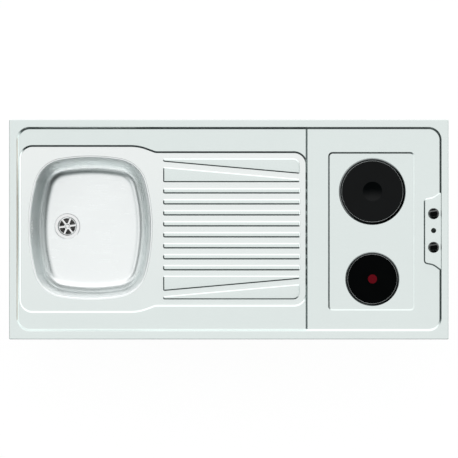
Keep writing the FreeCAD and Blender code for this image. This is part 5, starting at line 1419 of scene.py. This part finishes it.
# Heights, as the Z of a direction, over which the studio passes from one zone of light to the next.
TO_SHOULDER, TO_MIDDLE, TO_UPPER, TO_OVERHEAD = (0.42, 0.50), (0.69, 0.74), (0.81, 0.86), (0.93, 0.99)


def studio_world(stage):
    """White backdrop; polished steel sees bright and dark sides, as between studio screens."""
    world = bpy.data.worlds.new("Studio")
    bpy.context.scene.world = world
    nodes = Nodes(cleared(world))
    plus, minus, times, over, larger, _ = nodes.signs()
    fade = partial(nodes.ramp, smooth=True)
    x, y, z = nodes.parts(nodes.add("ShaderNodeTexCoord").outputs["Generated"])
    flat = larger(nodes.maths("SQRT", minus(1.0, times(z, z))), 0.001)
    across, towards = over(x, flat), over(y, flat)
    right_back = plus(times(across, 0.5), times(towards, 0.866))
    left_back = times(minus(towards, across), 0.7071)
    low = fade(right_back, -0.40, 0.15, stage.dark, stage.screen)
    shoulder = plus(fade(across, -0.75, -0.1, stage.shoulder, 0.65), fade(towards, 0.5, 0.95, 0.0, 0.8))
    middle = fade(left_back, -0.3, 0.3, stage.dark, stage.bright)
    upper = nodes.ramp(towards, -0.9, 0.9, 0.28, 1.0)
    level = nodes.mix(fade(z, *TO_SHOULDER), low, shoulder)
    level = nodes.mix(fade(z, *TO_MIDDLE), level, middle)
    level = nodes.mix(fade(z, *TO_UPPER), level, upper)
    # the front right corner is dark between the low screen and the upper zone
    corner = fade(left_back, -0.95, -0.55, stage.dark, 1.0)
    beyond = larger(fade(z, 0.80, 0.94), fade(z, *TO_SHOULDER[::-1]))
    level = times(level, larger(corner, beyond))
    level = nodes.mix(fade(z, *TO_OVERHEAD), level, stage.zenith)
    level = larger(level, nodes.add("ShaderNodeLightPath").outputs["Is Camera Ray"])
    tint = nodes.mix(nodes.ramp(level, 0.1, 0.9), (0.84, 1.0, 0.99), 1.0)
    backdrop = nodes.add("ShaderNodeBackground", {"Strength": level, "Color": tint})
    nodes.add("ShaderNodeOutputWorld", {0: backdrop.outputs[0]})


def studio_floor(stage):
    """Pale floor, white to the camera and in reflections beside the part, and clear from below."""
    mesh = bpy.data.meshes.new("studio_floor")
    with edited(mesh) as work:
        bmesh.ops.create_grid(work, x_segments=12, y_segments=12, size=9.0)
        bmesh.ops.translate(work, verts=work.verts, vec=(0, 0, stage.floor))
    floor = object_of("studio_floor", mesh)
    # how white the floor looks, its share at most, and past which X and Y, clear of the shade
    whiteness, most, past_x, past_y = 1.06, 0.9, (0.50, 0.60), (0.20, 0.30)
    material = bpy.data.materials.new("Pale floor")
    nodes = Nodes(cleared(material))
    _, _, times, _, larger, _ = nodes.signs()
    matt = nodes.add("ShaderNodeBsdfDiffuse", {"Color": (0.85, 0.85, 0.85, 1)})
    glow = nodes.add("ShaderNodeEmission", {"Color": (1, 1, 1, 1), "Strength": whiteness})
    clear = nodes.add("ShaderNodeBsdfTransparent")
    below = nodes.add("ShaderNodeNewGeometry").outputs["Backfacing"]
    path = nodes.add("ShaderNodeLightPath").outputs
    seen = larger(path["Is Camera Ray"], larger(path["Is Glossy Ray"], path["Is Transmission Ray"]))
    x, y, _ = nodes.place()
    beside = larger(nodes.ramp(nodes.maths("ABSOLUTE", x), *past_x),
                    nodes.ramp(nodes.maths("ABSOLUTE", y), *past_y))
    share = times(times(seen, beside), most)
    both = nodes.add("ShaderNodeMixShader", {0: share, 1: matt.outputs[0], 2: glow.outputs[0]})
    shown = nodes.add("ShaderNodeMixShader", {0: below, 1: both.outputs[0], 2: clear.outputs[0]})
    nodes.add("ShaderNodeOutputMaterial", {0: shown.outputs[0]})
    mesh.materials.append(material)


def build_stage():
    stage, sizes = settings("stage"), settings("sheet")
    scene = bpy.context.scene
    scene.view_settings.view_transform = "Standard"
    studio_world(stage)
    studio_floor(stage)
    data = bpy.data.cameras.new("camera")
    camera = bpy.data.objects.new("camera", data)
    scene.collection.objects.link(camera)
    # over the middle of the top, but for the small shift that the photo has
    shift_x, shift_y, sensor = 0.0004, 0.0014, 36
    camera.location = (shift_x, shift_y, sizes.rim + stage.distance)
    data.sensor_width = sensor
    data.lens = sensor * stage.distance / stage.view_width
    data.clip_start, data.clip_end = 0.1, 100
    scene.camera = camera


# ---- operators, panel and running ----

class KITCHENETTE_OT_finishes(bpy.types.Operator):
    """Make every finish and put it on the pieces kept from the frame"""
    bl_idname = "kitchenette.finishes"
    bl_label = "Finishes"

    def execute(self, context):
        make_finishes()
        dress_kept()
        return {"FINISHED"}


class KITCHENETTE_OT_sheet(bpy.types.Operator):
    """Press the steel sheet with its decks, drainer and control strip"""
    bl_idname = "kitchenette.sheet"
    bl_label = "Pressed sheet"

    def execute(self, context):
        build_sheet()
        return {"FINISHED"}


class KITCHENETTE_OT_bowl(bpy.types.Operator):
    """Draw the bowl with its ledge, sweep and overflow holes"""
    bl_idname = "kitchenette.bowl"
    bl_label = "Bowl"

    def execute(self, context):
        build_bowl()
        build_overflow_lips()
        return {"FINISHED"}


class KITCHENETTE_OT_strainer(bpy.types.Operator):
    """Make the strainer and its screw"""
    bl_idname = "kitchenette.strainer"
    bl_label = "Strainer"

    def execute(self, context):
        build_strainer()
        return {"FINISHED"}


class KITCHENETTE_OT_hotplates(bpy.types.Operator):
    """Cast both hotplates, with their rings and the red mark"""
    bl_idname = "kitchenette.hotplates"
    bl_label = "Hotplates"

    def execute(self, context):
        hob = settings("hob")
        build_plate("rear", hob.rear_y, hob.rear_face, hob.rear_ring, True)
        build_plate("front", hob.front_y, hob.front_face, hob.front_ring, False)
        build_dot()
        return {"FINISHED"}


class KITCHENETTE_OT_controls(bpy.types.Operator):
    """Mould both knobs and the lamp lens"""
    bl_idname = "kitchenette.controls"
    bl_label = "Knobs and lamp"

    def execute(self, context):
        controls = settings("controls")
        build_knob("rear", controls.rear_y)
        build_knob("front", controls.front_y)
        build_lamp()
        return {"FINISHED"}


class KITCHENETTE_OT_timber(bpy.types.Operator):
    """Plane the timber bars below the sheet"""
    bl_idname = "kitchenette.timber"
    bl_label = "Timber"

    def execute(self, context):
        build_timber()
        return {"FINISHED"}


class KITCHENETTE_OT_screws(bpy.types.Operator):
    """Set the wood screws of straps and tray"""
    bl_idname = "kitchenette.screws"
    bl_label = "Wood screws"

    def execute(self, context):
        build_screws()
        return {"FINISHED"}


class KITCHENETTE_OT_stage(bpy.types.Operator):
    """Set up camera, studio light, backdrop and floor"""
    bl_idname = "kitchenette.stage"
    bl_label = "Stage"

    def execute(self, context):
        build_stage()
        return {"FINISHED"}


OPERATORS = [KITCHENETTE_OT_finishes, KITCHENETTE_OT_sheet, KITCHENETTE_OT_bowl,
             KITCHENETTE_OT_strainer, KITCHENETTE_OT_hotplates, KITCHENETTE_OT_controls,
             KITCHENETTE_OT_timber, KITCHENETTE_OT_screws, KITCHENETTE_OT_stage]


class KITCHENETTE_PT_panel(bpy.types.Panel):
    """Lists the operators that build the top"""
    bl_label = "Kitchenette top"
    bl_idname = "KITCHENETTE_PT_panel"
    bl_space_type = "VIEW_3D"
    bl_region_type = "UI"
    bl_category = "Kitchenette"

    def draw(self, context):
        for operator in OPERATORS:
            self.layout.operator(operator.bl_idname)


def register():
    for group in SETTINGS.values():
        bpy.utils.register_class(group)
    for operator in OPERATORS:
        bpy.utils.register_class(operator)
    bpy.utils.register_class(KITCHENETTE_PT_panel)
    for name, group in SETTINGS.items():
        setattr(bpy.types.Scene, name, PointerProperty(type=group))


def unregister():
    for name in SETTINGS:
        delattr(bpy.types.Scene, name)
    bpy.utils.unregister_class(KITCHENETTE_PT_panel)
    for operator in reversed(OPERATORS):
        bpy.utils.unregister_class(operator)
    for group in reversed(list(SETTINGS.values())):
        bpy.utils.unregister_class(group)


def main():
    register()
    for operator in OPERATORS:
        section, name = operator.bl_idname.split(".")
        getattr(getattr(bpy.ops, section), name)()


if __name__ == "__main__":
    main()
